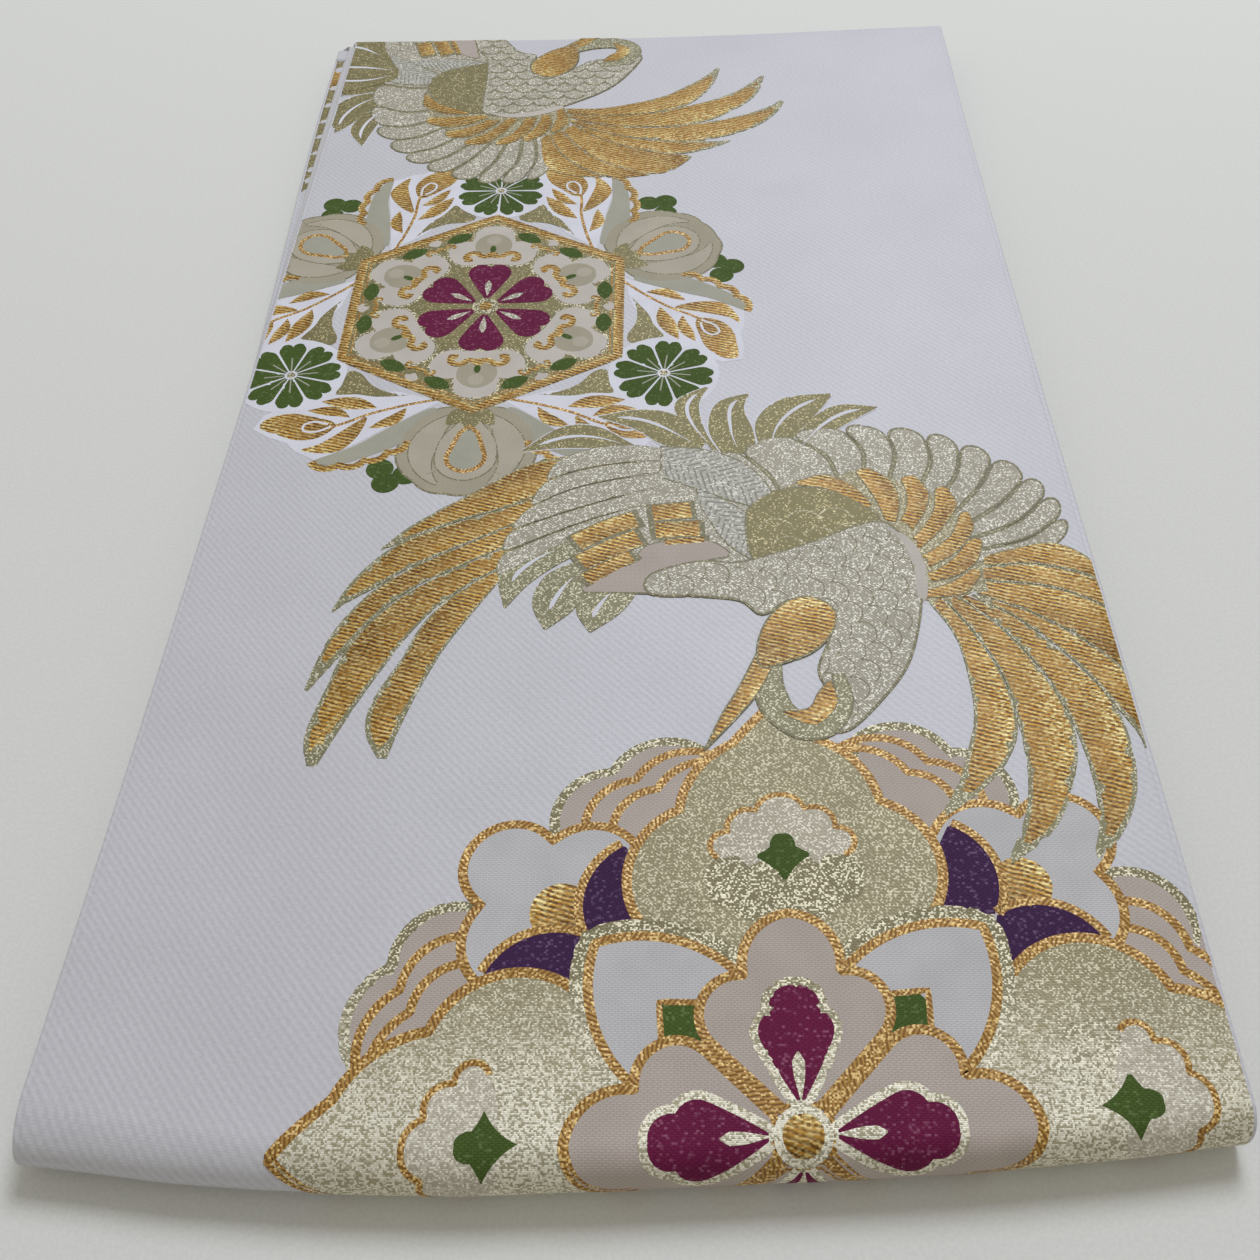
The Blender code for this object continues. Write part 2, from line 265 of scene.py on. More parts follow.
def onTopCloth(x, v, lift):
    # x across the cloth, v along it, round the near fold and the far fold
    under = np.maximum(nearTurn(x) - v, 0.0)
    over = np.maximum(v - farTurn(x), 0.0)
    flatV = np.clip(v, nearTurn(x), farTurn(x))
    flat = np.stack([x, flatV, midHeight(1, x, flatV)], -1)
    up = np.stack([0 * x, 0 * x, 1 + 0 * x], -1)
    points = flat + up * (halfWall + lift)[..., None]
    for fold, past in (("topNear", under), ("topFar", over)):
        share = np.clip(past / foldLength(fold, x), 0.0, sash["aroundFold"])
        left, right = foldEdges(fold, share)
        startLeft, startRight = foldEdges(fold, 0.0)
        foldX = left + (x - startLeft) * (right - left) / (startRight - startLeft)
        point, normal = foldPoint(fold, foldX, 90 - 180 * share)
        turned = point + normal * (halfWall + lift)[..., None]
        points = np.where((past > 0)[..., None], turned, points)
    return points


def onThirdPly(x, v, lift):
    return np.stack([x, v, midHeight(3, x, v) + halfWall + lift], -1)


# Shells of cloth.

shellSteps = {
    "edge": (0.0, 0.55, 1.1, 1.45, 1.7, 1.95, 2.4, 4.0),  # mm from the edge's rounding
    "edgeAngles": (60, 30, 0, -30, -60),
    "endAngles": (30, 55, 75),
}


def acrossCloth(left, right, spans):
    steps = np.array(shellSteps["edge"]) * mm
    left = left + halfWall
    right = right - halfWall
    inner = np.linspace(left + steps[-1], right - steps[-1], spans + 1)[1:-1]
    return np.concatenate([left + steps, inner, (right - steps)[::-1]])


def flatRows(ply, start, end, rows, spans, side=1):
    made = []
    for share in np.linspace(0.0, 1.0, rows + 1):
        middle = start(0.0) + (end(0.0) - start(0.0)) * share
        x = acrossCloth(leftEdge(ply, middle), rightEdge(ply, middle), spans)
        y = start(x) + (end(x) - start(x)) * share
        point = np.stack([x, y, midHeight(ply, x, y)], -1)
        normal = np.stack([0 * x, 0 * x, side + 0 * x], -1)
        made.append((point, normal))
    return made


def foldRows(fold, rows, spans, side=1, upward=False):
    made = []
    for share in np.linspace(0.0, 1.0, rows + 1)[1:-1]:
        left, right = foldEdges(fold, share)
        x = acrossCloth(left, right, spans)
        point, normal = foldPoint(fold, x, 90 - 180 * share + 0 * x)
        made.append((point, side * normal))
    return made[::-1] if upward else made


def clothRing(row, thickness):
    # the closed ring of points round the wall, with the seam line pressed into its face
    point, normal = row
    half = halfWall * thickness
    fromEdge = np.minimum(point[:, 0] - point[0, 0], point[-1, 0] - point[:, 0]) + halfWall
    groove = sash["seamGroove"] * np.exp(-(((fromEdge - sash["seamLine"]) / sash["seamWidth"]) ** 2))
    parts = [point + normal * (half - groove)[:, None]]
    out = np.array([1.0, 0.0, 0.0])
    for angle in shellSteps["edgeAngles"]:
        aside = out * halfWall * cos(radians(angle))
        parts.append((point[-1] + aside + normal[-1] * half * sin(radians(angle)))[None])
    parts.append((point - normal * half)[::-1])
    for angle in reversed(shellSteps["edgeAngles"]):
        aside = -out * halfWall * cos(radians(angle))
        parts.append((point[0] + aside + normal[0] * half * sin(radians(angle)))[None])
    return np.concatenate(parts)


def clothStrip(rows, closeStart=0, closeEnd=0):
    # rows of a strip as rings, quads, cloth coordinates and which quads are lining
    rings = [(row, 1.0) for row in rows]
    for atStart, way in ((True, closeStart), (False, closeEnd)):
        if not way:
            continue
        point, normal = rows[0] if atStart else rows[-1]
        for angle in shellSteps["endAngles"]:
            moved = point + np.array([0.0, way * halfWall * sin(radians(angle)), 0.0])
            rounded = ((moved, normal), cos(radians(angle)))
            rings.insert(0 if atStart else len(rings), rounded)
    points = [clothRing(row, thickness) for row, thickness in rings]
    middles = np.array([row[0].mean(axis=0) for row, _ in rings])
    lengths = np.linalg.norm(np.diff(middles, axis=0), axis=1)
    along = np.concatenate([[0.0], np.cumsum(lengths)])
    size = len(points[0])
    count = len(rings[0][0][0])
    edge = len(shellSteps["edgeAngles"])
    quads = []
    lining = []
    for i in range(len(points) - 1):
        for j in range(size):
            k = (j + 1) % size
            quads.append((i * size + j, (i + 1) * size + j, (i + 1) * size + k, i * size + k))
            lining.append(count + edge // 2 <= j < size - edge // 2 - 1)
    for first, flip in ((0, False), ((len(points) - 1) * size, True)):
        under = size - edge - 1
        ends = [(i, i + 1, under - i - 1, under - i) for i in range(count - 1)]
        ends.append(tuple(range(count - 1, count + edge + 1)))
        ends.append((0,) + tuple(range(under, size)))
        for end in ends:
            corners = tuple(first + corner for corner in end)
            quads.append(corners[::-1] if flip else corners)
            lining.append(False)
    flat = np.concatenate(points)
    uv = np.stack([flat[:, 0], np.repeat(along, size)], -1)
    return flat, quads, uv, lining


def newMesh(name, points, faces, uvs, attributes=None, faceSlots=None):
    mesh = bpy.data.meshes.new(name)
    centreX, centreY = sash["centre"]
    placed = points - np.array([centreX, centreY, 0.0])
    mesh.from_pydata(placed.tolist(), [], faces)
    corner = np.empty(len(mesh.loops), np.int32)
    mesh.loops.foreach_get("vertex_index", corner)
    for label, values in uvs.items():
        layer = mesh.uv_layers.new(name=label)
        layer.data.foreach_set("uv", values[corner].astype(np.float32).ravel())
    for label, values in (attributes or {}).items():
        stored = mesh.attributes.new(label, "FLOAT", "POINT")
        stored.data.foreach_set("value", values.astype(np.float32))
    if faceSlots is not None:
        mesh.polygons.foreach_set("material_index", np.array(faceSlots, np.int32))
    mesh.polygons.foreach_set("use_smooth", [True] * len(mesh.polygons))
    mesh.update()
    made = bpy.data.objects.new(name, mesh)
    bpy.context.scene.collection.objects.link(made)
    return made


def clothShell(name, strips, materials):
    points, faces, uvs, slots = [], [], [], []
    for flat, quads, uv, lining in strips:
        first = sum(len(part) for part in points)
        points.append(flat)
        uvs.append(uv)
        faces += [tuple(first + corner for corner in quad) for quad in quads]
        slots += [int(value) for value in lining]
    uv = np.concatenate(uvs)
    made = newMesh(name, np.concatenate(points), faces, {"cloth": uv}, faceSlots=slots)
    for material in materials:
        made.data.materials.append(material)
    print("cloth shell:", name, len(made.data.polygons), "faces")
    return made


# Drawing, in millimetres on the flat cloth: x across, y along.

drawing = {
    "step": 1.8,  # mm between the points of a line
    "turn": 0.28,  # radians between the points of an arc
    "straight": 0.01,  # a side with less bulge than this is straight
}


def arcs(*corners, closed=True, step=drawing["step"]):
    # corners: x, y, bulge of the side that leaves it (tan of a quarter of the arc's angle)
    points = []
    count = len(corners)
    for i in range(count if closed else count - 1):
        start = np.array(corners[i][:2], float)
        end = np.array(corners[(i + 1) % count][:2], float)
        bulge = corners[i][2] if len(corners[i]) > 2 else 0.0
        chord = end - start
        length = np.hypot(*chord)
        angle = 4 * atan(bulge)
        straight = abs(bulge) < drawing["straight"]
        way = length if straight else abs(length / 2 / sin(angle / 2) * angle)
        spans = max(1, int(way / step), int(abs(angle) / drawing["turn"]))
        shares = np.arange(spans) / spans
        if straight:
            points.append(start + shares[:, None] * chord)
            continue
        left = np.array([-chord[1], chord[0]]) / length
        middle = (start + end) / 2 + left * (length / 2 / tan(angle / 2))
        arm = start - middle
        turn = shares * angle
        points.append(middle + np.stack([
            arm[0] * np.cos(turn) - arm[1] * np.sin(turn),
            arm[0] * np.sin(turn) + arm[1] * np.cos(turn)], -1))
    if not closed:
        points.append(np.array([corners[-1][:2]], float))
    return np.concatenate(points)


def openArcs(*corners, step=drawing["step"]):
    return arcs(*corners, closed=False, step=step)


def mirroredArcs(*corners):
    # the right half is given, from its foot to its tip, and mirrored across the local y axis
    half = openArcs(*corners)
    inner = half[np.abs(half[:, 0]) > 1e-6]
    return np.concatenate([half, (inner * [-1, 1])[::-1]])


def curve(*corners, closed=False, step=drawing["step"]):
    # a smooth line through the corners
    corners = np.array(corners, float)
    if closed:
        before, after = corners[-1:], corners[:2]
    else:
        before, after = 2 * corners[:1] - corners[1:2], 2 * corners[-1:] - corners[-2:-1]
    around = np.concatenate([before, corners, after])
    points = []
    for i in range(1, len(around) - 2):
        a, b, c, d = around[i - 1:i + 3]
        t = np.linspace(0, 1, max(2, int(np.hypot(*(c - b)) / step)) + 1)[:-1, None]
        points.append(0.5 * (2 * b + (c - a) * t + (2 * a - 5 * b + 4 * c - d) * t**2
                             + (3 * b - a - 3 * c + d) * t**3))
    if not closed:
        points.append(corners[-1:])
    return np.concatenate(points)


def ring(*corners):
    return curve(*corners, closed=True)


def place(x=0.0, y=0.0, turn=0.0, flip=False, within=None):
    # a place for a motif: mirrored across its own y axis if flip, turned, then moved
    c, s = cos(radians(turn)), sin(radians(turn))
    matrix = np.array([[c, -s], [s, c]]) @ np.array([[-1.0 if flip else 1.0, 0.0], [0.0, 1.0]])
    offset = np.array([x, y], float)
    if within is not None:
        return within[0] @ matrix, within[0] @ offset + within[1]
    return matrix, offset


asDrawn = place()


def bothWays(spot):
    # a place as it is, and mirrored
    return [place(flip=flip, within=spot) for flip in (False, True)]


def put(points, spot):
    return np.asarray(points, float) @ spot[0].T + spot[1]


def sideways(points, closed):
    if closed:
        run = np.roll(points, -1, axis=0) - np.roll(points, 1, axis=0)
    else:
        run = np.gradient(points, axis=0)
    length = np.maximum(np.hypot(run[:, 0], run[:, 1]), 1e-9)
    return np.stack([run[:, 1], -run[:, 0]], -1) / length[:, None]


def turnsLeft(points):
    x, y = points[:, 0], points[:, 1]
    return np.sum(x * np.roll(y, -1) - np.roll(x, -1) * y) > 0


def grown(points, by):
    points = np.asarray(points, float)
    away = sideways(points, closed=True)
    return points + away * (by if turnsLeft(points) else -by)


def isInside(at, outline):
    x, y = at[:, 0][:, None], at[:, 1][:, None]
    ax, ay = outline[:, 0], outline[:, 1]
    bx, by = np.roll(ax, -1), np.roll(ay, -1)
    crosses = (ay > y) != (by > y)
    level = np.where(by == ay, 1e-9, by - ay)
    return (np.sum(crosses & (x < ax + (y - ay) * (bx - ax) / level), axis=1) % 2) == 1


def distanceTo(at, outline):
    span = np.roll(outline, -1, axis=0) - outline
    away = at[:, None] - outline
    square = np.maximum(np.sum(span**2, axis=1), 1e-12)
    t = np.clip(np.sum(away * span, axis=2) / square, 0, 1)
    return np.min(np.hypot(*np.moveaxis(away - t[..., None] * span, 2, 0)), axis=1)


# The weave: every motif is a thin raised patch of its own threads.

weave = {
    "rim": 0.14,  # mm from a patch's outline to its full height
    "foot": -0.06,  # mm, its outline lies this far under the cloth's face
    "lowest": 0.05,  # mm, the height of the first layer
    "layer": 0.50,  # how much of a motif's own height is kept
    # mm between the points inside a patch, on the flat and where the cloth turns
    "gridX": 5.0,
    "gridY": 4.0,
    "foldGridX": 2.4,
    "foldGridY": 0.8,
    "insetClear": 0.7,  # how many rims from the outline the inner points keep
    "gridClear": 3.0,
    "back": 0.02,  # mm from the foot of a patch down to its back
    "same": 1e-4,  # mm, points closer than this are one
    "onOutline": 0.02,  # mm, a point closer than this to the outline is on it
    # of a strip: the largest share of its half width that a rim takes, how many rims from
    # its sides it is flat, and the rise from side to side
    "rimShare": 0.35,
    "flatFrom": 2.6,
    "stripRise": (0.0, 0.97, 1.0, 1.0, 0.97, 0.0),
    "edgeMargin": 1.1,  # mm of bare cloth left beside the long edges
    "foldStart": -262.0,  # mm, where the cloth starts to turn at the near fold and at the far one
    "farFoldStart": 276.0,
    "sharpFrom": 30,  # degrees
}
patches = {}


def heights(lift, share):
    # from the foot up to the height of the motif's layer
    top = weave["lowest"] + weave["layer"] * lift
    return weave["foot"] + (top - weave["foot"]) * share


def held(points, onPly=1):
    # the patches end at the long edges of the cloth
    y = points[:, 1] * mm
    low = leftEdge(onPly, y) / mm + weave["edgeMargin"]
    high = rightEdge(onPly, y) / mm - weave["edgeMargin"]
    return low, high


def trimmed(outline, onPly):
    # cut the outline at the two long edges
    for side, way in ((0, -1), (1, 1)):
        over = (outline[:, 0] - held(outline, onPly)[side]) * way
        if not (over > 0).any():
            continue
        kept = []
        for i in range(len(outline)):
            k = (i + 1) % len(outline)
            if over[i] <= 0:
                kept.append(outline[i])
            if (over[i] > 0) != (over[k] > 0):
                share = over[i] / (over[i] - over[k])
                kept.append(outline[i] + (outline[k] - outline[i]) * share)
        outline = np.array(kept) if len(kept) > 2 else np.empty((0, 2))
    return outline


def keep(finish, points, lifts, faces, thread, tone, side, onPly=1):
    patches.setdefault(finish, []).append((points, lifts, faces, thread, tone, side, onPly))


def onFold(points):
    return points[:, 1].min() < weave["foldStart"] or points[:, 1].max() > weave["farFoldStart"]


def spaced(outline):
    # closer points where the cloth turns round a fold
    made = []
    for a, b in zip(outline, np.roll(outline, -1, axis=0)):
        made.append(a)
        if onFold(np.array([a, b])):
            extra = int(np.hypot(*(b - a)) / weave["foldGridY"])
            made += [a + (b - a) * (i + 1) / (extra + 1) for i in range(extra)]
    return np.array(made)


def tone(points):
    # a small steady difference from patch to patch
    x, y = points.mean(axis=0)
    return (sin(x * 12.9898 + y * 78.233) * 43758.5453) % 1.0


def patch(finish, outline, spot, lift, turn=0.0, onPly=1):
    outline = trimmed(put(outline, spot), onPly)
    if len(outline) < 3:
        return
    outline = spaced(outline)
    if not turnsLeft(outline):
        outline = outline[::-1]
    rim = weave["rim"]
    inset = outline - sideways(outline, closed=True) * rim
    low, high = outline.min(axis=0), outline.max(axis=0)
    fold = "foldGrid" if onFold(outline) else "grid"
    stepX, stepY = weave[fold + "X"], weave[fold + "Y"]
    ys = np.arange(low[1], high[1], stepY)
    xs = np.arange(low[0], high[0], stepX)
    grid = np.array([(x + (i % 2) * stepX / 2, y) for i, y in enumerate(ys) for x in xs])
    grid = grid.reshape(-1, 2)
    grid = grid[isInside(grid, outline)]
    grid = grid[distanceTo(grid, outline) > weave["gridClear"] * rim]
    extra = np.concatenate([inset, grid])
    extra = extra[isInside(extra, outline)]
    extra = extra[distanceTo(extra, outline) > weave["insetClear"] * rim]
    points = np.concatenate([outline, extra])
    count = len(outline)
    loop = [(i, (i + 1) % count) for i in range(count)]
    onlyInside = 1
    flat, _, top, _, _, _ = delaunay_2d_cdt(points.tolist(), loop, [], onlyInside, weave["same"])
    flat = np.array([tuple(corner) for corner in flat])
    if not len(top):
        return
    far = distanceTo(flat, outline)
    inner = far > weave["onOutline"]
    share = np.clip(far / rim, 0, 1)
    lifts = heights(lift, np.sqrt(1 - (1 - share) ** 2))
    top = [tuple(face) for face in top if any(inner[corner] for corner in face)]
    below = np.arange(len(flat))
    below[inner] = len(flat) + np.arange(inner.sum())
    bottom = [tuple(int(below[corner]) for corner in reversed(face)) for face in top]
    allPoints = np.concatenate([flat, flat[inner]])
    allLifts = np.concatenate([lifts, np.full(inner.sum(), weave["foot"] - weave["back"])])
    c, s = cos(radians(turn)), sin(radians(turn))
    local = (allPoints - outline.mean(axis=0)) @ spot[0]
    thread = np.stack([local[:, 0] * c + local[:, 1] * s, local[:, 1] * c - local[:, 0] * s], -1)
    size = max(np.abs(thread[:, 1]).max(), 1e-6)
    keep(finish, allPoints, allLifts, top + bottom, thread, tone(outline), thread[:, 1] / size, onPly)


def along(points):
    steps = np.hypot(*np.diff(points, axis=0).T)
    return np.concatenate([[0.0], np.cumsum(steps)])


def strip(finish, path, widths, spot, lift, closed=False):
    # a flat strip of threads along a line, its half width given at every point
    path = put(path, spot)
    widths = np.broadcast_to(widths, len(path)).astype(float)
    if onFold(path) and not closed:
        length = along(path)
        finer = np.linspace(0, length[-1], max(len(path), int(length[-1] / weave["foldGridY"])) + 1)
        widths = np.interp(finer, length, widths)
        path = np.stack([np.interp(finer, length, path[:, i]) for i in (0, 1)], -1)
    away = sideways(path, closed)
    if closed:
        path, away, widths = (np.concatenate([part, part[:1]]) for part in (path, away, widths))
    rims = np.minimum(weave["rim"], weave["rimShare"] * widths) / widths
    near, far = 1 - rims, 1 - weave["flatFrom"] * rims
    shares = np.stack([-1 + 0 * rims, -near, -far, far, near, 1 + 0 * rims], -1)
    lifts = heights(lift, np.array(weave["stripRise"]))
    size = len(lifts)
    count = len(path)
    flat = (path[:, None] + away[:, None] * (widths[:, None] * shares)[..., None]).reshape(-1, 2)
    faces = [tuple(reversed(range(size))), tuple(range((count - 1) * size, count * size))]
    for i in range(count - 1):
        for j in range(size):
            m = (j + 1) % size
            faces.append((i * size + j, i * size + m, (i + 1) * size + m, (i + 1) * size + j))
    thread = np.stack([np.repeat(along(path), size), (widths[:, None] * shares).ravel()], -1)
    side = shares.ravel() * (-1 if np.linalg.det(spot[0]) < 0 else 1)
    low, high = held(flat)
    if ((flat[:, 0] < low) | (flat[:, 0] > high)).all():
        return
    flat = np.stack([np.clip(flat[:, 0], low, high), flat[:, 1]], -1)
    keep(finish, flat, np.tile(lifts, count), faces, thread, tone(path), side)


def line(finish, path, width, spot, lift, closed=False):
    # an outline thread: only the runs of it that stay on the cloth
    there = put(path, spot)
    low, high = held(there)
    inside = (there[:, 0] > low) & (there[:, 0] < high)
    if inside.all():
        if closed and onFold(there):
            path, closed = np.concatenate([path, path[:1]]), False
        strip(finish, path, width / 2, spot, lift, closed)
        return
    if closed:
        first = int(np.argmin(inside))
        path, inside = np.roll(path, -first, axis=0), np.roll(inside, -first)
    runs = np.flatnonzero(np.diff(np.concatenate([[0], inside.astype(int), [0]])))
    for start, end in zip(runs[::2], runs[1::2]):
        if end - start > 2:
            strip(finish, path[max(start - 1, 0):end + 1], width / 2, spot, lift)


def disc(finish, radius, spot, lift, x=0.0, y=0.0):
    patch(finish, arcs((x - radius, y, 1), (x + radius, y, 1)), spot, lift)


def outlined(finish, outline, width, spot, lift, lineLift):
    # a patch with a gold thread round it
    patch(finish, outline, spot, lift)
    line("goldOutline", outline, width, spot, lineLift, closed=True)


def edged(finish, outline, by, spot, edgeLift, lift, edge="greyLine"):
    # a patch on a wider one of another thread, which shows as its edge
    patch(edge, grown(outline, by), spot, edgeLift)
    patch(finish, outline, spot, lift)


feather = {
    # share along, share of the half width
    "leaf": ((0.0, 0.02), (0.12, 0.42), (0.45, 1.0), (0.8, 0.62), (1.0, 0.02)),
    "slit": ((0.0, 0.15), (0.7, 1.0), (0.92, 0.8), (1.0, 0.2)),
    "leastBlade": 0.05,  # mm, half the width of a blade's tip
    "count": 26,  # points along each side of a feather
    "endsAt": 0.12,  # mm, half the width at which a feather stops
    "leastHalf": 0.06,
    "capAngles": (-68, -46, -23, 0, 23, 46, 68),
    "edgeDrop": 0.04,
    "slitRise": 0.06,
}


def blade(finish, corners, halfWidth, kind, spot, lift):
    # a leaf or slit along a smooth line, drawn fuller or narrower by its kind
    path = curve(*corners)
    length = along(path)
    widths = halfWidth * eased(feather[kind], 1, length / length[-1])
    strip(finish, path, np.maximum(widths, feather["leastBlade"]), spot, lift)


def sampled(path, count):
    length = along(path)
    at = np.linspace(0, length[-1], count)
    return np.stack([np.interp(at, length, path[:, i]) for i in (0, 1)], -1)


def featherOutline(left, right, inset, cap):
    # what lies between two side lines, drawn in by inset, with a round end if cap is given
    middle, half = (left + right) / 2, (right - left) / 2
    width = np.hypot(half[:, 0], half[:, 1])
    kept = width > inset + feather["endsAt"]
    last = len(width) if kept.all() else max(int(np.argmin(kept | (np.arange(len(kept)) < 2))), 3)
    middle, half, width, inset = middle[:last], half[:last], width[:last], inset[:last]
    half = half * (np.maximum(width - inset, feather["leastHalf"]) / np.maximum(width, 1e-6))[:, None]
    sides = [middle - half]
    if cap:
        run = middle[-1] - middle[-3]
        run = run / np.hypot(*run)
        for angle in np.radians(feather["capAngles"]):
            sides.append((middle[-1] + half[-1] * sin(angle) + run * cap * cos(angle))[None])
    sides.append((middle + half)[::-1])
    return np.concatenate(sides), middle


def plume(finish, edgeFinish, left, right, spot, lift, edge, cap=0.0, slit=None):
    # a feather between two side lines, on a larger one of another thread that shows round it
    # as an edge, so wide at the root and at the tip; a slit starts and ends at two shares of
    # its length and has its own half width
    left, right = (sampled(curve(*side, step=1.0), feather["count"]) for side in (left, right))
    share = np.linspace(0, 1, feather["count"])
    if edgeFinish:
        outer, _ = featherOutline(left, right, 0 * share, cap)
        patch(edgeFinish, outer, spot, lift - feather["edgeDrop"])
    insets = edge[0] + (edge[1] - edge[0]) * share**2
    inner, middle = featherOutline(left, right, insets, max(cap - edge[1], 0.0))
    run = middle[-1] - middle[0]
    patch(finish, inner, spot, lift, turn=degrees(atan2(run[1], run[0])))
    if slit:
        start, end, halfWidth = slit
        path = middle[int(start * len(middle)):int(end * len(middle))]
        widths = halfWidth * eased(feather["slit"], 1, np.linspace(0, 1, len(path)))
        strip("brightSilk", path, widths, spot, lift + feather["slitRise"])


def sewAll(materials):
    # one piece for each kind of thread, laid on the cloth that carries it
    made = {}
    for finish, parts in patches.items():
        points, faces, clothUv, threadUv, tones, sides = [], [], [], [], [], []
        first = 0
        for flat, lifts, polygons, thread, oneTone, side, onPly in parts:
            x, v = flat[:, 0] * mm, flat[:, 1] * mm
            laid = (onTopCloth if onPly == 1 else onThirdPly)(x, v, lifts * mm)
            points.append(laid)
            faces += [tuple(int(first + corner) for corner in face) for face in polygons]
            clothUv.append(np.stack([x, v], -1))
            threadUv.append(thread * mm)
            tones.append(np.full(len(flat), oneTone))
            sides.append(side)
            first += len(flat)
        piece = newMesh(
            finish, np.concatenate(points), faces,
            {"cloth": np.concatenate(clothUv), "thread": np.concatenate(threadUv)},
            {"tone": np.concatenate(tones), "side": np.concatenate(sides)})
        piece.data.set_sharp_from_angle(angle=radians(weave["sharpFrom"]))
        piece.data.materials.append(materials[finish])
        made[finish] = piece
        print("woven:", finish, len(parts), "patches,", len(piece.data.polygons), "faces")
    return made


# The lower flower: four petals and all that stands behind them.

lowerFlower = {
    "centre": (42.0, -276.0),
    "rise": 0.05,  # how much it is woven upwards towards the right
    # widths of the gold lines
    "outline": 3.0,
    "petalOutline": 3.2,
    "fineOutline": 2.0,
    "crescentLine": 2.8,
    "scallopLine": 2.9,
    "jointHalf": 1.7,
    "scallopReaches": (8.2, 15.4),  # how far in each gold line follows the cloud's edge
    # how wide the glittering edges are, and the radii of the eye
    "cloudEdge": 3.0,
    "whiteEdge": 5.2,
    "plumEdge": 2.3,
    "eye": 7.6,
    "goldEye": 5.4,
    # how far each leaf, and what stands in each corner, is woven off its regular place
    "leafDrift": ((0, 0), (-2, 1), (0, 0), (6, 4)),
    "cornerDrift": ((0, 0), (0, 0), (0, 0), (3, 2)),
}


def blushCloud(spot):
    # two scallops, a glittering edge and two gold lines that follow it
    outer = arcs((14, 108.5, -0.5), (42, 113, -0.48), (67, 96, 0), (52, 72, 0), (22, 84, 0))
    patch("champagneLame", outer, spot, 0.04)
    patch("blushSilk", grown(outer, -lowerFlower["cloudEdge"]), spot, 0.10)
    for reach in lowerFlower["scallopReaches"]:
        ends = np.array([(16, 109), (42, 112), (65, 97)]) + np.array([0.28, -0.96]) * reach
        ends[0] += np.array([0.32, 0.0]) * reach
        scallops = openArcs((*ends[0], -0.46), (*ends[1], -0.46), (*ends[2], 0))
        line("goldOutline", scallops, lowerFlower["scallopLine"], spot, 0.15)


def whiteTrefoil(spot):
    outline = mirroredArcs((0, 70, 0), (24, 76, 0.1), (28.5, 87, 0.5), (13.5, 107, 0.474), (0, 123.5, 0))
    outlined("whiteSilk", outline, lowerFlower["outline"], spot, 0.22, 0.28)
    disc("goldThread", 8.8, spot, 0.26, y=89)


def purplePair(spot):
    # a purple crescent at each side of a corner
    for beside in bothWays(spot):
        crescent = arcs((27.0, 91.6, 0.43), (0.2, 76.8, 0), (8.0, 62.0, 0), (20.0, 66.0, 0))
        patch("purpleSilk", crescent, beside, 0.29)
        rim = openArcs((26.4, 92.0, 0.43), (-0.6, 77.6, 0))
        line("goldOutline", rim, lowerFlower["crescentLine"], beside, 0.31)


def lamePetal(spot):
    outline = mirroredArcs((0, 24, 0), (37, 54, 0.55), (29.5, 94.0, 0.26), (13.0, 116.5, 0.03), (0, 130.5, 0))
    outlined("petalLame", outline, lowerFlower["petalOutline"], spot, 0.34, 0.42)
    # the cartouche: pale above, a glittering mass below, and a green star on both
    lower = mirroredArcs((0, 56, 0), (6, 58, 0.45), (15, 62, 0.55), (22, 69, 0.5), (19, 77, 0), (0, 82, 0))
    patch("champagneLame", lower, spot, 0.40)
    crest = mirroredArcs((17.5, 77.0, 0.95), (15.6, 85.8, 0.60), (7.2, 92.6, 0.36), (0, 97.6, 0))
    patch("crestLame", np.concatenate([crest, [(-10, 74), (10, 74)]]), spot, 0.48)
    line("goldOutline", crest[:-1], lowerFlower["fineOutline"], spot, 0.54)
    star = mirroredArcs((0, 68.4, -0.20), (9.0, 77.6, -0.10), (3.8, 80.4, 0.2), (3.2, 83.0, 0.4),
                        (0, 84.6, 0))
    patch("greenSilk", star, spot, 0.58)


def whitePetal(spot):
    outline = mirroredArcs((0, 26, 0), (20, 41, 0.28), (0, 75, 0))
    patch("champagneLame", grown(outline, lowerFlower["whiteEdge"]), spot, 0.46)
    outlined("whiteSilk", outline, lowerFlower["outline"], spot, 0.52, 0.56)
    patch("greenSilk", arcs((-8.2, 41, 0), (0, 32, 0), (8.2, 41, 0), (0, 49.5, 0)), spot, 0.58)
    roof = openArcs((-9.0, 40.4, 0), (0, 50.4, 0), (9.0, 40.4, 0))
    line("goldOutline", roof, lowerFlower["fineOutline"], spot, 0.60)


def blushPetal(spot):
    outline = mirroredArcs((4.8, 6.6, 0), (22.2, 24.0, 0.72), (13, 42, 0.45), (0, 59.5, 0))
    outlined("blushSilk", outline, lowerFlower["outline"], spot, 0.62, 0.68)
    drop = mirroredArcs((1.1, 8.5, 0.03), (9.4, 23.6, 0.42), (6.8, 31.8, 0.52), (0, 38.8, 0))
    edged("plumSilk", drop, lowerFlower["plumEdge"], spot, 0.70, 0.80, "champagneLame")
    blade("champagneLame", ((0, 8.2), (0, 14), (0, 20.8)), 1.7, "slit", spot, 0.96)


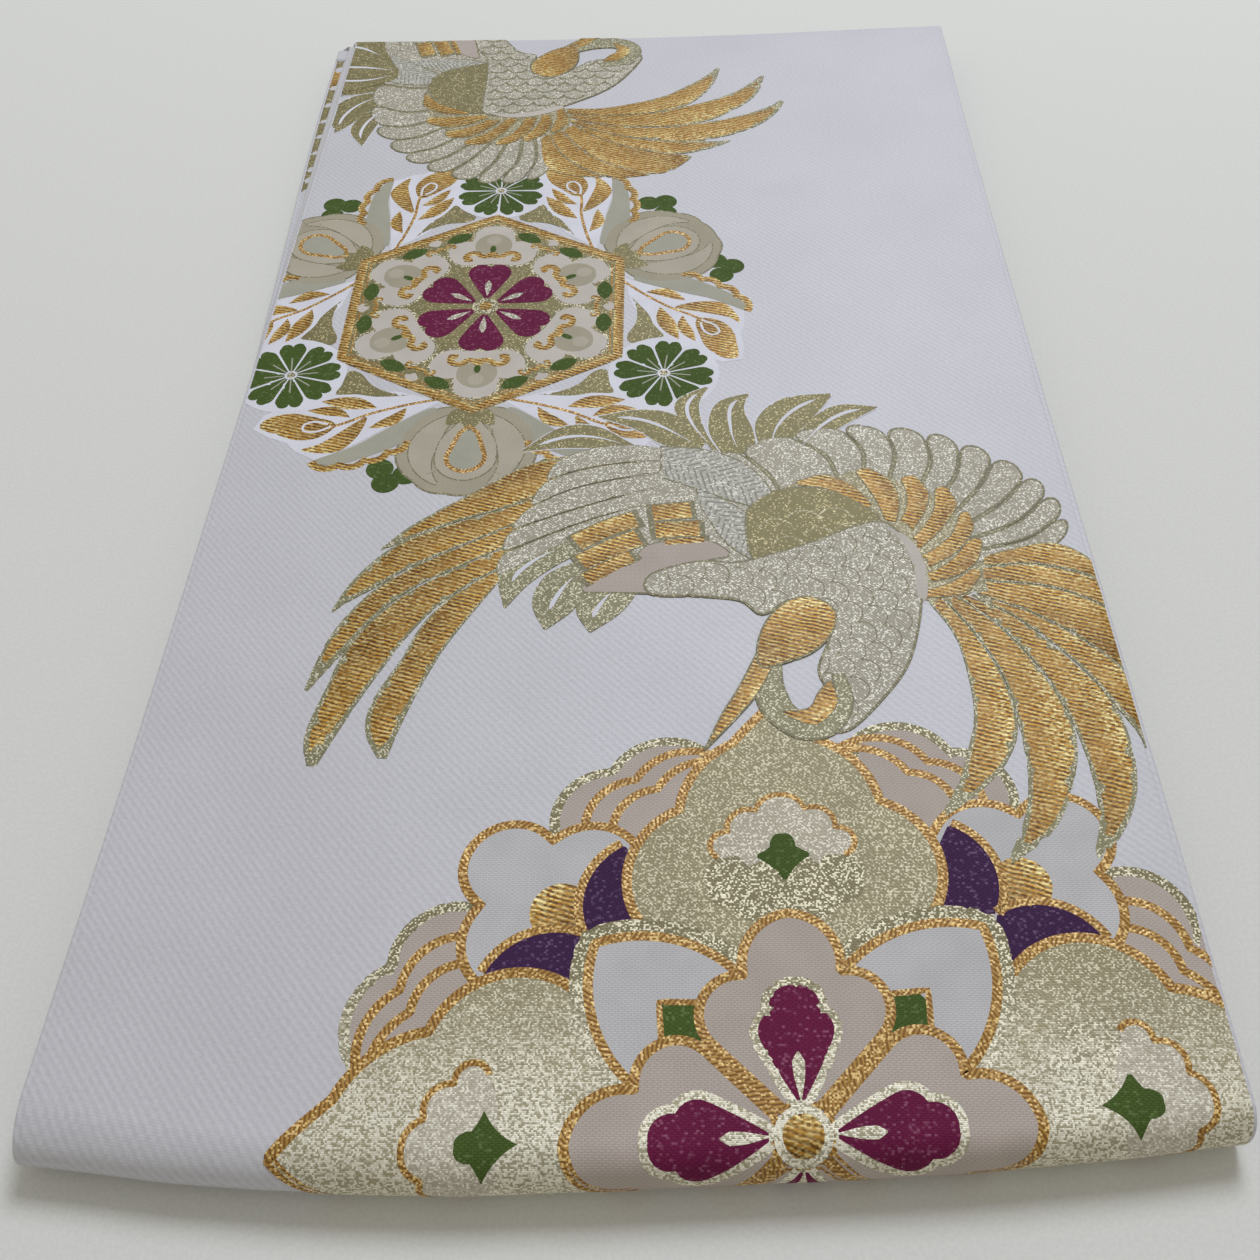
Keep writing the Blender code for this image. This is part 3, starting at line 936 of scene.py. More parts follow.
def drawLowerFlower():
    middle = (np.array([[1.0, 0.0], [lowerFlower["rise"], 1.0]]), np.array(lowerFlower["centre"]))
    for quarter in range(4):
        diagonal = place(*lowerFlower["cornerDrift"][quarter], turn=45 + 90 * quarter, within=middle)
        whiteTrefoil(diagonal)
        purplePair(diagonal)
        for beside in bothWays(diagonal):
            blushCloud(beside)
    for quarter in range(4):
        lamePetal(place(*lowerFlower["leafDrift"][quarter], turn=90 * quarter, within=middle))
    for quarter in range(4):
        whitePetal(place(turn=45 + 90 * quarter, within=middle))
    for quarter in range(4):
        # the gold that joins two blush petals
        diagonal = place(turn=45 + 90 * quarter, within=middle)
        joint = curve((0, 8), (0, 22), (0, 35))
        strip("goldOutline", joint, lowerFlower["jointHalf"], diagonal, 0.62)
        blushPetal(place(turn=90 * quarter, within=middle))
    disc("champagneLame", lowerFlower["eye"], middle, 0.92)
    disc("goldThread", lowerFlower["goldEye"], middle, 1.00)


# The hexagon medallion and its ring of flowers.

hexagon = {
    "centre": (-64.6, 56.0),
    "radius": 66.0,
    "outline": 4.2,
    "innerAt": 0.94,  # of the outline's size
    "innerLine": 1.0,
    "linePoints": 30,  # along each side
    "ring": 85.0,  # from the middle to each flower's own
    "bloom": 22.0,  # radius of the white disc behind a daisy
    "eye": 5.6,
    "goldEye": 2.8,
    "leafDisc": 5.2,
}


def sixSided(radius):
    return np.array([(radius * sin(radians(60 * i)), radius * cos(radians(60 * i))) for i in range(6)])


def goldBracket(spot, size):
    # a small gold stand with two curled arms
    arm = np.array([(0, 0), (3.6, -0.6), (6.6, 1.6), (9.8, 0.4), (10.0, -2.8), (7.6, -2.6)]) * size
    for beside in bothWays(spot):
        line("goldThread", curve(*arm, step=0.9), 2.9 * size, beside, 0.30)
    patch("goldThread", arcs((-2.6 * size, 0, 0.7), (2.6 * size, 0, 0.9)), spot, 0.33)


def heartPetal(petal):
    cloud = mirroredArcs((0, 29, 0), (11, 28.0, 0.35), (19.0, 36.5, 0.60), (9.5, 45.5, 0.30),
                         (8.6, 48.4, 0.55), (0, 57.0, 0))
    edged("creamSilk", cloud, 1.2, petal, 0.16, 0.21, "champagneLame")
    patch("sandSilk", mirroredArcs((0, 35, 0), (7.0, 38, 0.55), (0, 51.5, 0)), petal, 0.25)
    disc("lotusSilk", 3.4, petal, 0.28, y=46.4)
    goldBracket(place(0, 35.4, within=petal), 1.1)
    patch("greenSilk", arcs((0, 36.6, 0.45), (0, 43.2, 0.45)), petal, 0.33)
    plum = mirroredArcs((1.2, 5.6, 0.03), (8.8, 20.5, 0.42), (5.2, 28.6, 0.34), (0, 27.0, 0))
    patch("plumSilk", plum, petal, 0.26)
    blade("silverThread", ((0, 7.0), (0, 12), (0, 17.4)), 1.6, "slit", petal, 0.32)


def heartCorner(between):
    goldBracket(place(0, 46.0, within=between), 0.62)
    patch("creamSilk", mirroredArcs((0, 48.5, 0), (3.2, 50, 0.4), (0, 54, 0)), between, 0.22)
    for x in (-10.8, 10.8):
        patch("greenSilk", arcs((x - 6.2, 49.2, 0.55), (x + 6.2, 49.2, 0.55)), between, 0.24)


def hexagonHeart(spot):
    frameLine = sixSided(hexagon["radius"] - hexagon["outline"] / 2)
    shares = np.linspace(0, 1, hexagon["linePoints"])[:-1, None]
    dense = np.concatenate([a + (b - a) * shares
                            for a, b in zip(frameLine, np.roll(frameLine, -1, axis=0))])
    patch("oliveLame", frameLine, spot, 0.12)
    line("goldThread", dense, hexagon["outline"], spot, 0.44, closed=True)
    line("goldOutline", dense * hexagon["innerAt"], hexagon["innerLine"], spot, 0.17, closed=True)
    for i in range(6):
        heartPetal(place(turn=60 * i, within=spot))
        heartCorner(place(turn=60 * i + 30, within=spot))
    disc("champagneLame", hexagon["eye"], spot, 0.26)
    disc("goldThread", hexagon["goldEye"], spot, 0.30)


def daisy(spot):
    # a green flower of eight notched petals in a white disc
    disc("brightSilk", hexagon["bloom"], spot, 0.14)
    outline = mirroredArcs((0.8, 2.4, 0), (5.3, 13.8, 0.26), (4.8, 17.6, 0.50), (1.5, 19.4, 0.3),
                           (0, 17.6, 0))
    for i in range(8):
        petal = place(turn=45 * i + 22.5, within=spot)
        patch("greenSilk", outline, petal, 0.20)
        strip("sageSilk", curve((0, 2.6), (0, 6), (0, 10.6)), 0.42, petal, 0.26)
    disc("champagneLame", 1.8, spot, 0.24)


def lotus(spot):
    # a round bloom: a silver back, blush side petals, a grey heart and a looped gold thread
    back = mirroredArcs((0, -24, 0), (12, -22, 0.25), (25, -4, 0.34), (18, 17, 0.30), (6, 23.5, 0.1),
                        (0, 24.5, 0))
    edged("sandSilk", back, 0.7, spot, 0.11, 0.15)
    for beside in bothWays(spot):
        edged("lotusSilk", arcs((2, -20, 0.30), (21.5, -3, 0.36), (8, 20, -0.30), (10, -2, -0.22)), 0.5,
              beside, 0.19, 0.22)
        line("sandSilk", openArcs((4, -20, -0.38), (13.5, 14, 0)), 1.0, beside, 0.26)
    heart = mirroredArcs((0, -20, 0), (8.5, -8, 0.12), (11.5, 4, 0.42), (0, 17, 0))
    edged("lotusSilk", heart, 0.5, spot, 0.26, 0.29)
    core = mirroredArcs((0, -12, 0), (3.4, -8, 0), (6.8, 3, 0.5), (0, 12.5, 0))
    outlined("sageSilk", core, 2.1, spot, 0.32, 0.37)
    for turn in (-42, 42, 0):
        blade("oliveLame", ((0, 0), (0, 7), (0, 14)), 4.0, "leaf", place(0, -23, turn, within=spot), 0.36)


def trefoilLeaf(spot):
    for x, y in ((-5.2, 0), (5.2, 0.6), (0, 6.4)):
        disc("greenSilk", hexagon["leafDisc"], spot, 0.08 + 0.01 * y, x, y)


def goldSpray(spot):
    # a stem with leaves that stand on white, as an inlay; drawn to the right of the daisy
    field = arcs((45, 40), (48, 64), (50.6, 80), (51, 94), (42, 99), (36.5, 100), (30, 105), (22.5, 108.5),
                 (17, 102), (17, 74), (31, 52))
    patch("brightSilk", field, spot, 0.10)
    leaves = (
        # root, middle, tip, half width
        ((35.6, 63), (29.4, 68.5), (21.0, 80.0), 3.6),
        ((35.2, 74), (29.4, 77.5), (23.2, 86.5), 2.7),
        ((41.4, 53), (45.0, 60), (44.6, 70.0), 2.8),
    )
    for root, middle, tip, width in leaves:
        blade("goldThread", (root, middle, tip), width, "leaf", spot, 0.20)
    outer = ring((38.2, 68), (45.6, 74), (50.6, 83), (48.8, 90), (42.6, 97), (43.2, 90), (41.2, 81),
                 (39.2, 74))
    inner = ring((37.6, 81), (39.8, 89), (36.6, 96.5), (30.4, 101.5), (23.0, 106), (19.6, 101), (22.0, 92),
                 (27.4, 86), (33.6, 80.6))
    for leaf in (outer, inner):
        patch("goldThread", leaf, spot, 0.20)
    # the curl: a pale drop-shaped thread within the inner leaf
    curl = curve((36.4, 82), (36.2, 88), (33.4, 92), (30.2, 90.6), (30.6, 86.4), (34.6, 82.6))
    line("brightSilk", curl, 1.3, spot, 0.26)
    stem = curve((43.4, 40), (40.0, 52), (37.4, 66), (37.2, 76), (36.6, 82))
    line("goldOutline", stem, 1.5, spot, 0.24)


def greyLeaf(spot):
    # a long grey leaf with a scalloped gold edge on its outer side
    leaf = ring((46.4, 44), (48.4, 64), (51, 79), (50.6, 95), (57, 88), (59, 74), (58.5, 60), (54, 48))
    patch("sageSilk", leaf, spot, 0.12)
    edge = openArcs((59.0, 60, 0.5), (60.4, 69, 0.5), (60.0, 78, 0.5), (57.6, 87, 0.5), (50.8, 95.5, 0))
    line("goldThread", edge, 3.4, spot, 0.19)


def drawHexagon():
    middle = place(*hexagon["centre"])
    for i in range(3):
        flowerWay = place(turn=120 * i, within=middle)
        bloomWay = place(turn=120 * i - 60, within=middle)
        for byBloom, byFlower in zip(bothWays(bloomWay), bothWays(flowerWay)):
            trefoilLeaf(place(26, 97, -20, within=byBloom))
            greyLeaf(byFlower)
            goldSpray(byFlower)
        daisy(place(0, hexagon["ring"], within=flowerWay))
        for beside in bothWays(flowerWay):
            wedge = ring((35.4, 49), (29.6, 60.6), (24.4, 66.5), (19.8, 74), (16.4, 70.4), (9.5, 64.4),
                         (13, 60.6), (22, 59.4), (30, 55))
            patch("oliveLame", wedge, beside, 0.17)
        lotus(place(0, hexagon["ring"], within=bloomWay))
    hexagonHeart(middle)


# The crane: drawn once, woven twice. Sides run from a feather's root to its tip.

cranes = {
    # of the first crane and of the second: how wide the lines of its scales are, and how
    # much olive shows at the roots of its flight feathers
    "scaleLine": (0.6, 1.5),
    "featherEdge": (0.55, 0.15),
    # the head as it is drawn, then where the second crane's head lies and how it is turned
    "head": (52, -115),
    "secondHead": (-46, 258),
    "secondTurn": 23,
    "secondWider": 1.06,
    "secondAside": 3.0,
    # the scales of the neck
    "scaleX": 9.4,
    "scaleY": 6.6,
    "neckMiddle": (50.0, -112.0),
    "neckTurn": -67,
    "rows": 10,
    "columns": 7,
}


def crane(spot, scaleLine, featherEdge):
    drawPlumes(spot)
    drawScallops(spot)
    drawFlight(spot, featherEdge)
    drawFarFlight(spot)
    drawNearWing(spot)
    drawBody(spot)
    drawBand(spot)
    drawNeck(spot, scaleLine)
    drawHead(spot)


def drawPlumes(spot):
    # olive feathers behind the wings, each with a pale slit
    plumes = (
        (((-2, -27), (-16, -17), (-30, -17.5), (-46, -32)), ((-2, -31), (-16, -30), (-30, -30), (-46, -32))),
        (((25, -26), (14, -11), (0, -7.5), (-18, -12)), ((22, -33), (8, -28), (-3, -19), (-18, -12))),
        (((26, -30), (14, -13), (14, -2), (28, 7)), ((30, -32), (25, -20), (23, -5), (28, 7))),
        (((30, -34), (25, -19), (29, -4), (43, 2)), ((44, -33), (43, -20), (40, -8), (43, 2))),
        (((44, -33), (43, -15), (54, -2), (75, 1)), ((52, -34), (61, -20), (69, -9), (75, 1))),
        (((54, -33), (63, -15), (75, -6), (92, -7.5)), ((60, -34), (70, -24), (80, -16), (92, -7.5))),
    )
    for i, (left, right) in enumerate(plumes):
        plume("oliveLame", "brightSilk", left, right, spot, 0.30 + 0.01 * i, (0.55, 0.3),
              slit=(0.15, 0.84, 0.85))


def sideBySide(lines, spot, lift, edge, cap):
    # silver feathers, each between one line and the next
    for left, right in zip(lines, lines[1:]):
        plume("silverThread", "greyLine", left, right, spot, lift, edge, cap=cap)


def drawScallops(spot):
    # feathers with round ends, round the far wing
    under = ring((42, -58), (38, -40), (44, -32), (60, -27), (78, -27), (92, -32), (104, -36), (114, -44),
                 (122, -54), (127, -66), (126, -78), (120, -88), (112, -100), (96, -104), (92, -90),
                 (84, -66), (62, -50))
    patch("petalLame", under, spot, 0.32)
    sideBySide((
        ((47, -57), (41, -47), (31, -38)),
        ((50, -52), (47, -44), (39, -34)),
        ((72, -46), (68, -34), (58, -25)),
        ((81, -44), (82, -32), (77, -22)),
        ((90, -47), (93.5, -34), (92, -24)),
        ((100, -52), (106, -38), (106, -26.5)),
        ((106, -58), (114.5, -44), (117.5, -32)),
        ((110, -65), (122, -50), (128, -39)),
        ((112, -71), (128, -59), (137.5, -48)),
        ((113, -77), (132, -68), (143, -57)),
        ((114, -82), (134, -76), (146, -67)),
        ((114, -88), (130, -83), (143, -79)),
    ), spot, 0.40, (0.85, 1.0), 6.0)


def drawFlight(spot, featherEdge):
    # gold flight feathers on the right; the upper ones run off the cloth
    shared = (
        ((118, -84), (131, -79.5), (142, -77.5), (151, -82), (158, -92)),
        ((115, -89), (134, -87.5), (150, -92), (162, -101)),
        ((114, -95), (137, -97.5), (154, -106), (166, -118)),
        ((112, -101), (128, -108), (143, -119), (155, -133)),
        ((110, -101.5), (125, -112), (140, -130), (149, -148)),
        ((106, -102), (118.5, -115.5), (129, -135), (134, -154)),
        ((101, -102.5), (109.5, -118), (115.5, -135), (117, -153)),
        ((96, -104), (102.5, -118), (104.5, -134), (104, -150)),
    )
    # how the two sides of each feather go on to its tip
    ends = (
        (((164, -106),), ((164, -106),)),
        (((166, -112),), ((166, -112),)),
        (((168, -126),), ((160, -140), (168, -126))),
        (((157, -150), (154, -165)), ((153, -157), (154, -165))),
        (((149, -172), (141, -190), (128, -203)), ((135.5, -172), (134, -188), (128, -203))),
        (((131, -171), (121, -190), (103, -204)), ((116.5, -172), (112, -188), (103, -204))),
        (((112, -166), (101, -178), (87, -188)), ((100, -163), (95, -175), (87, -188))),
    )
    for i, (upper, lower) in enumerate(ends):
        tipEdge = 2.0 if i > 2 else 0.7
        plume("goldThread", "tipLame", shared[i] + upper, shared[i + 1] + lower, spot, 0.46,
              (featherEdge, tipEdge))


def drawFarFlight(spot):
    # gold flight feathers on the left
    feathers = (
        (((-22, -33), (-40, -37.5), (-60, -52), (-80, -68), (-92, -82)),
         ((-30, -50), (-48, -60), (-66, -67.5), (-82, -76), (-92, -82))),
        (((-30, -50), (-48, -60), (-66, -67.5), (-84, -77), (-97, -93), (-104, -111)),
         ((-38, -64), (-58, -76), (-78, -88), (-90, -98), (-98, -104), (-104, -111))),
        (((-38, -64), (-58, -76), (-78, -88), (-92, -101), (-102, -120), (-107, -144)),
         ((-42, -76), (-62, -88), (-78, -99), (-89, -112), (-97, -127), (-107, -144))),
        (((-42, -76), (-62, -88), (-80, -101), (-94, -120), (-100, -142), (-103, -159), (-99, -173)),
         ((-44, -86), (-60, -98), (-72, -112), (-80, -127), (-87, -142), (-93, -157), (-99, -173))),
        (((-44, -86), (-60, -98), (-71, -112), (-77, -128), (-84, -145), (-84, -157), (-77, -169)),
         ((-46, -92), (-55, -108), (-62, -121), (-68, -136), (-73, -152), (-77, -169))),
    )
    for left, right in feathers:
        plume("goldThread", "tipLame", left, right, spot, 0.42, (0.6, 2.1))


def drawNearWing(spot):
    # olive tips, then the long silver feathers over them
    tips = (
        (((-22, -74), (-38, -78), (-48, -90), (-45, -108)),
         ((-16, -80), (-26, -86), (-37, -96), (-45, -108))),
        (((-20, -84), (-32, -92), (-36, -104), (-31, -116.5)),
         ((-14, -90), (-17, -99), (-22, -108), (-31, -116.5))),
        (((-10, -92), (-19, -99), (-21, -108), (-16, -117.5)),
         ((0, -97), (-2, -103), (-7, -110), (-16, -117.5))),
    )
    for left, right in tips:
        plume("tipLame", None, left, right, spot, 0.48, (0.2, 0.3), slit=(0.25, 0.72, 0.9))
    under = ring((2, -31), (26, -34), (42, -44), (48, -58), (44, -80), (30, -90), (8, -84), (-12, -88),
                 (-20, -80), (-8, -62))
    patch("silverThread", under, spot, 0.46)
    sideBySide((
        ((9, -29.5), (-4, -27.5), (-17, -29), (-28, -34)),
        ((9, -36), (-8, -37.5), (-22, -41), (-33, -46)),
        ((9, -42), (-10, -46), (-25, -51), (-38, -59)),
        ((9, -49), (-10, -55.5), (-26, -62), (-44, -70.5)),
        ((6, -57), (-8, -62), (-24, -69), (-46, -81)),
        ((2, -60), (-10, -68), (-24, -76), (-47, -92)),
    ), spot, 0.52, (0.35, 0.6), 3.0)
    # two herringbone leaves at the shoulder, the lower one first
    plume("silverBarbs", "greyLine", ((18, -48), (32, -57), (41, -68), (44, -90)),
          ((21, -58), (25, -68), (31, -79), (44, -90)), spot, 0.55, (0.6, 0.8))
    plume("silverBarbs", "greyLine", ((7, -28), (24, -30), (38, -37), (46, -48), (50, -62)),
          ((7, -45), (20, -51), (32, -57), (42, -61), (50, -62)), spot, 0.59, (0.6, 0.8))
    bars = (
        # one end, middle and other end of each gold bar, and its half width
        ((0.5, -65.0), (-11, -70.0), (-23.5, -78.0), 3.9),
        ((1.5, -73.8), (-9, -79.2), (-21.5, -87.4), 3.9),
        ((-1.0, -82.4), (-9, -87.4), (-19.5, -95.2), 2.9),
        ((2.6, -63.0), (11, -62.0), (20, -61.0), 3.9),
        ((3.6, -71.4), (12, -70.6), (23, -70.2), 3.7),
        ((7.0, -77.2), (15, -76.2), (24.5, -75.4), 1.5),
    )
    for start, middle, end, half in bars:
        path = curve(start, middle, end)
        strip("greyLine", path, half + 0.6, spot, 0.61)
        strip("goldThread", path[1:-1], half, spot, 0.65)


def drawBody(spot):
    # the blush breast in two lobes, and the olive back with its scales
    breast = arcs((-20, -99.5, -0.30), (-3, -87.5, -0.42), (16, -86, 0), (24, -101, 0.02))
    edged("blushSilk", breast, 0.6, spot, 0.57, 0.61)
    upper = arcs((-1, -84, -0.40), (11, -77, -0.42), (32, -83.5, 0.10), (16, -88, 0.15))
    edged("blushSilk", upper, 0.6, spot, 0.59, 0.63)
    back = ring((38, -64), (44, -55), (54, -51), (68, -52), (80, -60), (84, -68), (76, -74), (60, -79),
                (47, -86), (39, -84))
    edged("oliveLame", back, 0.8, spot, 0.59, 0.63)
    scales = ((48, -66, 6), (58, -62, 6), (69, -61, 6), (52, -74, 5.5), (63, -70, 5.5), (74, -68, 5.5))
    for x, y, reach in scales:
        scale = openArcs((x - reach, y - 4, -0.75), (x + reach, y - 5, 0))
        line("petalLame", scale, 0.9, spot, 0.67)


def drawBand(spot):
    # the gold crescents that run round the neck
    crescents = (
        (((81, -62), (74, -56), (67, -51.5), (60, -50)), ((83, -60), (77, -50), (67, -44), (58, -46.5))),
        (((86, -67), (84, -58), (81, -50), (78.5, -44.5)), ((90, -69), (92.5, -58), (91, -48), (85, -42))),
        (((91, -68), (94, -61), (95, -54), (94, -48)), ((95, -73), (101, -63), (103.5, -54), (101, -47))),
        (((94, -76), (99, -70), (103.5, -62), (105, -54)),
         ((96, -82), (106, -71), (112.5, -60), (111, -52.5))),
        (((96, -84), (102, -80), (108, -74), (111.5, -66.5)),
         ((98, -90), (109, -82.5), (116.5, -72), (116.5, -65))),
        (((97, -92), (103, -88.5), (108, -84), (112.5, -78)),
         ((98, -96), (108, -93), (115.5, -86.5), (118.5, -78.5))),
        (((94, -100), (101, -97.5), (106, -95), (112, -90.5)),
         ((94, -103), (103, -102.5), (110, -100.5), (115, -94))),
    )
    for left, right in crescents:
        plume("goldThread", "greyLine", left, right, spot, 0.60, (0.35, 0.4), cap=2.8)


def drawNeck(spot, scaleLine):
    neck = ring((4, -92), (20, -86), (34, -86.5), (48, -82), (62, -76.5), (76, -70), (86, -68.5), (93, -80),
                (94.5, -96), (92, -112), (86, -130), (76, -144), (65, -155), (59, -154), (60, -142),
                (58, -132), (62, -121), (65, -110), (60, -103), (50, -103), (41, -109), (34, -103),
                (20, -101), (4, -100))
    edged("silverThread", neck, 0.8, spot, 0.67, 0.72)
    # scales: rows of small arches, kept where they fall on the neck
    inner = grown(neck, -0.8)
    lattice = place(*cranes["neckMiddle"], cranes["neckTurn"])
    half = cranes["scaleX"] / 2
    for row in range(-cranes["rows"], cranes["rows"] + 1):
        for column in range(-cranes["columns"], cranes["columns"] + 1):
            x = (column + 0.5 * (row % 2)) * cranes["scaleX"]
            y = row * cranes["scaleY"]
            arch = put(openArcs((x - half, y, -0.82), (x + half, y, 0), step=1.2), lattice)
            within = isInside(arch, inner)
            if within.sum() > 4:
                line("greyLine", arch[within], scaleLine, spot, 0.77)
    collar = ring((84, -69.5), (90, -76), (93, -88), (93, -103), (96, -103), (97.5, -88), (93, -75))
    patch("creamSilk", collar, spot, 0.78)


def drawHead(spot):
    # the throat's loop, a gold crescent within it, the beak and the crown
    throat = curve((42.5, -128), (41.6, -140), (44.6, -149), (52, -154.5), (60, -152), (64.5, -144),
                   (63.5, -134))
    widths = np.interp(np.linspace(0, 1, len(throat)), (0, 0.25, 0.6, 1), (3.0, 4.7, 4.2, 1.6))
    strip("greyLine", throat, widths + 0.7, spot, 0.78)
    strip("tipLame", throat, widths, spot, 0.82)
    plume("goldThread", "greyLine", ((60.5, -136), (56.5, -141), (53, -147), (45, -148)),
          ((61.5, -137), (62.5, -146), (55, -154), (45, -150)), spot, 0.92, (0.4, 0.5))
    plume("goldThread", "greyLine", ((38, -125), (31.5, -139), (25.5, -150), (19, -165)),
          ((44, -130), (38.5, -141), (31, -151), (19, -165)), spot, 0.90, (0.6, 0.5))
    crown = ring((62.5, -105), (56, -102), (49, -104.5), (42.5, -112), (39, -122), (39.5, -131),
                 (46, -129.5), (56, -125), (62.5, -118), (65, -110))
    edged("goldThread", crown, 0.7, spot, 0.92, 0.97)


def drawCranes():
    # the second crane is the first mirrored about a diagonal, turned and a little wider
    headX, headY = cranes["head"]
    turned, offset = place(*cranes["secondHead"], cranes["secondTurn"])
    mirrored = (turned @ np.array([[0.0, -1.0], [-1.0, 0.0]]), offset)
    matrix, offset = place(-headX, -headY, within=mirrored)
    wider = np.array([[cranes["secondWider"], 0.0], [0.0, 1.0]])
    second = (wider @ matrix, wider @ offset + (cranes["secondAside"], 0.0))
    for spot, scaleLine, edge in zip((asDrawn, second), cranes["scaleLine"], cranes["featherEdge"]):
        crane(spot, scaleLine, edge)
    drawCornerPlumes()


def drawCornerPlumes():
    # the olive feathers of the second crane that reach the far left corner
    mass = ring((-158, 300), (-139, 292), (-136, 277), (-130, 262), (-125, 249), (-132, 240), (-158, 236))
    patch("oliveLame", mass, asDrawn, 0.70)
    slits = (
        ((-138, 269), (-147, 276), (-156, 279)),
        ((-129, 253), (-142, 256), (-156, 257)),
        ((-130, 247), (-142, 243), (-156, 243)),
    )
    for slit in slits:
        blade("brightSilk", slit, 0.9, "slit", asDrawn, 0.78)


def drawMargin():
    # what shows of the third stretch's own pattern, along its left edge
    stops = (148, 158, 167, 181, 196, 210, 226, 243, 262, 273)
    goldStop = 7
    for i, (low, high) in enumerate(zip(stops, stops[1:])):
        y = np.array([low + 0.6, high - 0.6])
        left = leftEdge(3, y * mm) / mm
        right = leftEdge(2, y * mm) / mm - 0.4
        outline = [(left[0], y[0]), (right[0], y[0] + 2), (right[1], y[1] + 2), (left[1], y[1])]
        patch("goldThread" if i == goldStop else "oliveLame", outline, asDrawn, 0.1, onPly=3)


# The looks of the threads. Patterns read the cloth's own coordinates, in metres.

# of each weave: the pitch of its rows and of its floats, the step of the floats from row
# to row, and the share of a row that lies on top
weaves = {
    "ground": (0.55 * mm, 2.9 * mm, -0.18, 0.5),
    "silk": (0.60 * mm, 1.7 * mm, 0.5, 0.65),
    "lame": (0.46 * mm, 1.3 * mm, 0.37, 0.6),
    "barbs": (0.60 * mm, 1.6 * mm, 0.5, 0.7),
    "lining": (0.50 * mm, 3.2 * mm, 0.4, 0.8),
}
scattered = {
    "stagger": 0.12,  # how unevenly the floats of a weave start, as a share of their pitch
    "floatEdge": 0.10,  # how softly a float begins and ends
    "sparkShift": 9.0,  # how far, in sparks, one row of sparks may be moved against the next
    "sparkEdge": 0.12,
    "cloud": 12 * mm,  # the size of the clouds that gather the sparks
}


def shade(red, green, blue):
    # a shade as it is seen on a screen, 0 to 255, as the shader takes it
    seen = np.array([red, green, blue]) / 255
    linear = np.where(seen <= 0.04045, seen / 12.92, ((seen + 0.055) / 1.055) ** 2.4)
    return (*linear.tolist(), 1.0)


def newMaterial(name, roughness, metallic=0.0, gloss=0.2):
    material = bpy.data.materials.new(name)
    material.use_nodes = True
    shader = material.node_tree.nodes["Principled BSDF"]
    shader.inputs["Roughness"].default_value = roughness
    shader.inputs["Metallic"].default_value = metallic
    shader.inputs["Specular IOR Level"].default_value = gloss
    return material, material.node_tree, shader


def node(kind, inputs, output=0, tree=None, **settings):
    # a node stands in the tree of the sockets that go into it
    linked = {label: value for label, value in inputs.items() if isinstance(value, bpy.types.NodeSocket)}
    tree = tree or next(iter(linked.values())).id_data
    made = tree.nodes.new("ShaderNode" + kind)
    for label, value in settings.items():
        setattr(made, label, value)
    for label, value in inputs.items():
        if label in linked:
            tree.links.new(value, made.inputs[label])
        else:
            made.inputs[label].default_value = value
    return made.outputs[output]


def maths(operation, *values):
    return node("Math", dict(enumerate(values)), operation=operation)


def plus(first, second):
    return maths("ADD", first, second)


def times(first, second):
    return maths("MULTIPLY", first, second)


def timesPlus(first, second, added):
    return maths("MULTIPLY_ADD", first, second, added)


def mixed(share, first, second, blend="MIX"):
    return node("Mix", {0: share, 6: first, 7: second}, 2, data_type="RGBA", blend_type=blend)


def between(value, low, high):
    # 0 below low, 1 above high, smooth between
    return node("MapRange", {0: value, 1: low, 2: high}, interpolation_type="SMOOTHSTEP")


def apart(tree, label):
    # the two coordinates of a UV map
    made = node("SeparateXYZ", {0: node("UVMap", {}, tree=tree, uv_map=label)}).node
    return made.outputs[0], made.outputs[1]


def attribute(tree, label):
    return node("Attribute", {}, "Fac", tree, attribute_name=label)


def noise(tree, size, detail=2.0):
    at = node("UVMap", {}, tree=tree, uv_map="cloth")
    return node("TexNoise", {"Vector": at, "Scale": 1 / size, "Detail": detail})


def wefts(tree, kind):
    # rows of weft across the cloth: how much each point lies on a float, and its height
    rowPitch, dashPitch, step, duty = weaves[kind]
    across, lengthwise = apart(tree, "cloth")
    rows = maths("DIVIDE", lengthwise, rowPitch)
    row = maths("FLOOR", rows)
    inRow = maths("FRACT", rows)
    jitter = node("TexWhiteNoise", {"W": row}, noise_dimensions="1D")
    moved = timesPlus(row, step, maths("DIVIDE", across, dashPitch))
    phase = maths("FRACT", timesPlus(jitter, scattered["stagger"], moved))
    wave = maths("ABSOLUTE", maths("SUBTRACT", phase, 0.5))
    edge = 0.5 - duty / 2
    onFloat = between(wave, edge - scattered["floatEdge"], edge + scattered["floatEdge"])
    return onFloat, maths("SINE", times(inRow, pi))


def weftHeight(tree, kind, floatShare, crownShare):
    onFloat, crown = wefts(tree, kind)
    return timesPlus(onFloat, floatShare, times(crown, crownShare))


def floats(tree, rowPitch, length, cover, clump=0.25):
    # short bright floats in rows, the mask of the painted glints, scattered, and gathered a little by slow
    # clouds
    across, lengthwise = apart(tree, "cloth")
    row = maths("FLOOR", maths("DIVIDE", lengthwise, rowPitch))
    jitter = node("TexWhiteNoise", {"W": row}, noise_dimensions="1D")
    moved = timesPlus(jitter, scattered["sparkShift"], maths("DIVIDE", across, length))
    cell = node("CombineXYZ", {0: row, 1: maths("FLOOR", moved)})
    value = node("TexWhiteNoise", {"Vector": cell}, noise_dimensions="2D")
    cloud = maths("SUBTRACT", noise(tree, scattered["cloud"], 3.0), 0.5)
    value = timesPlus(cloud, clump, value)
    return between(value, 1 - cover - scattered["sparkEdge"], 1 - cover + scattered["sparkEdge"])


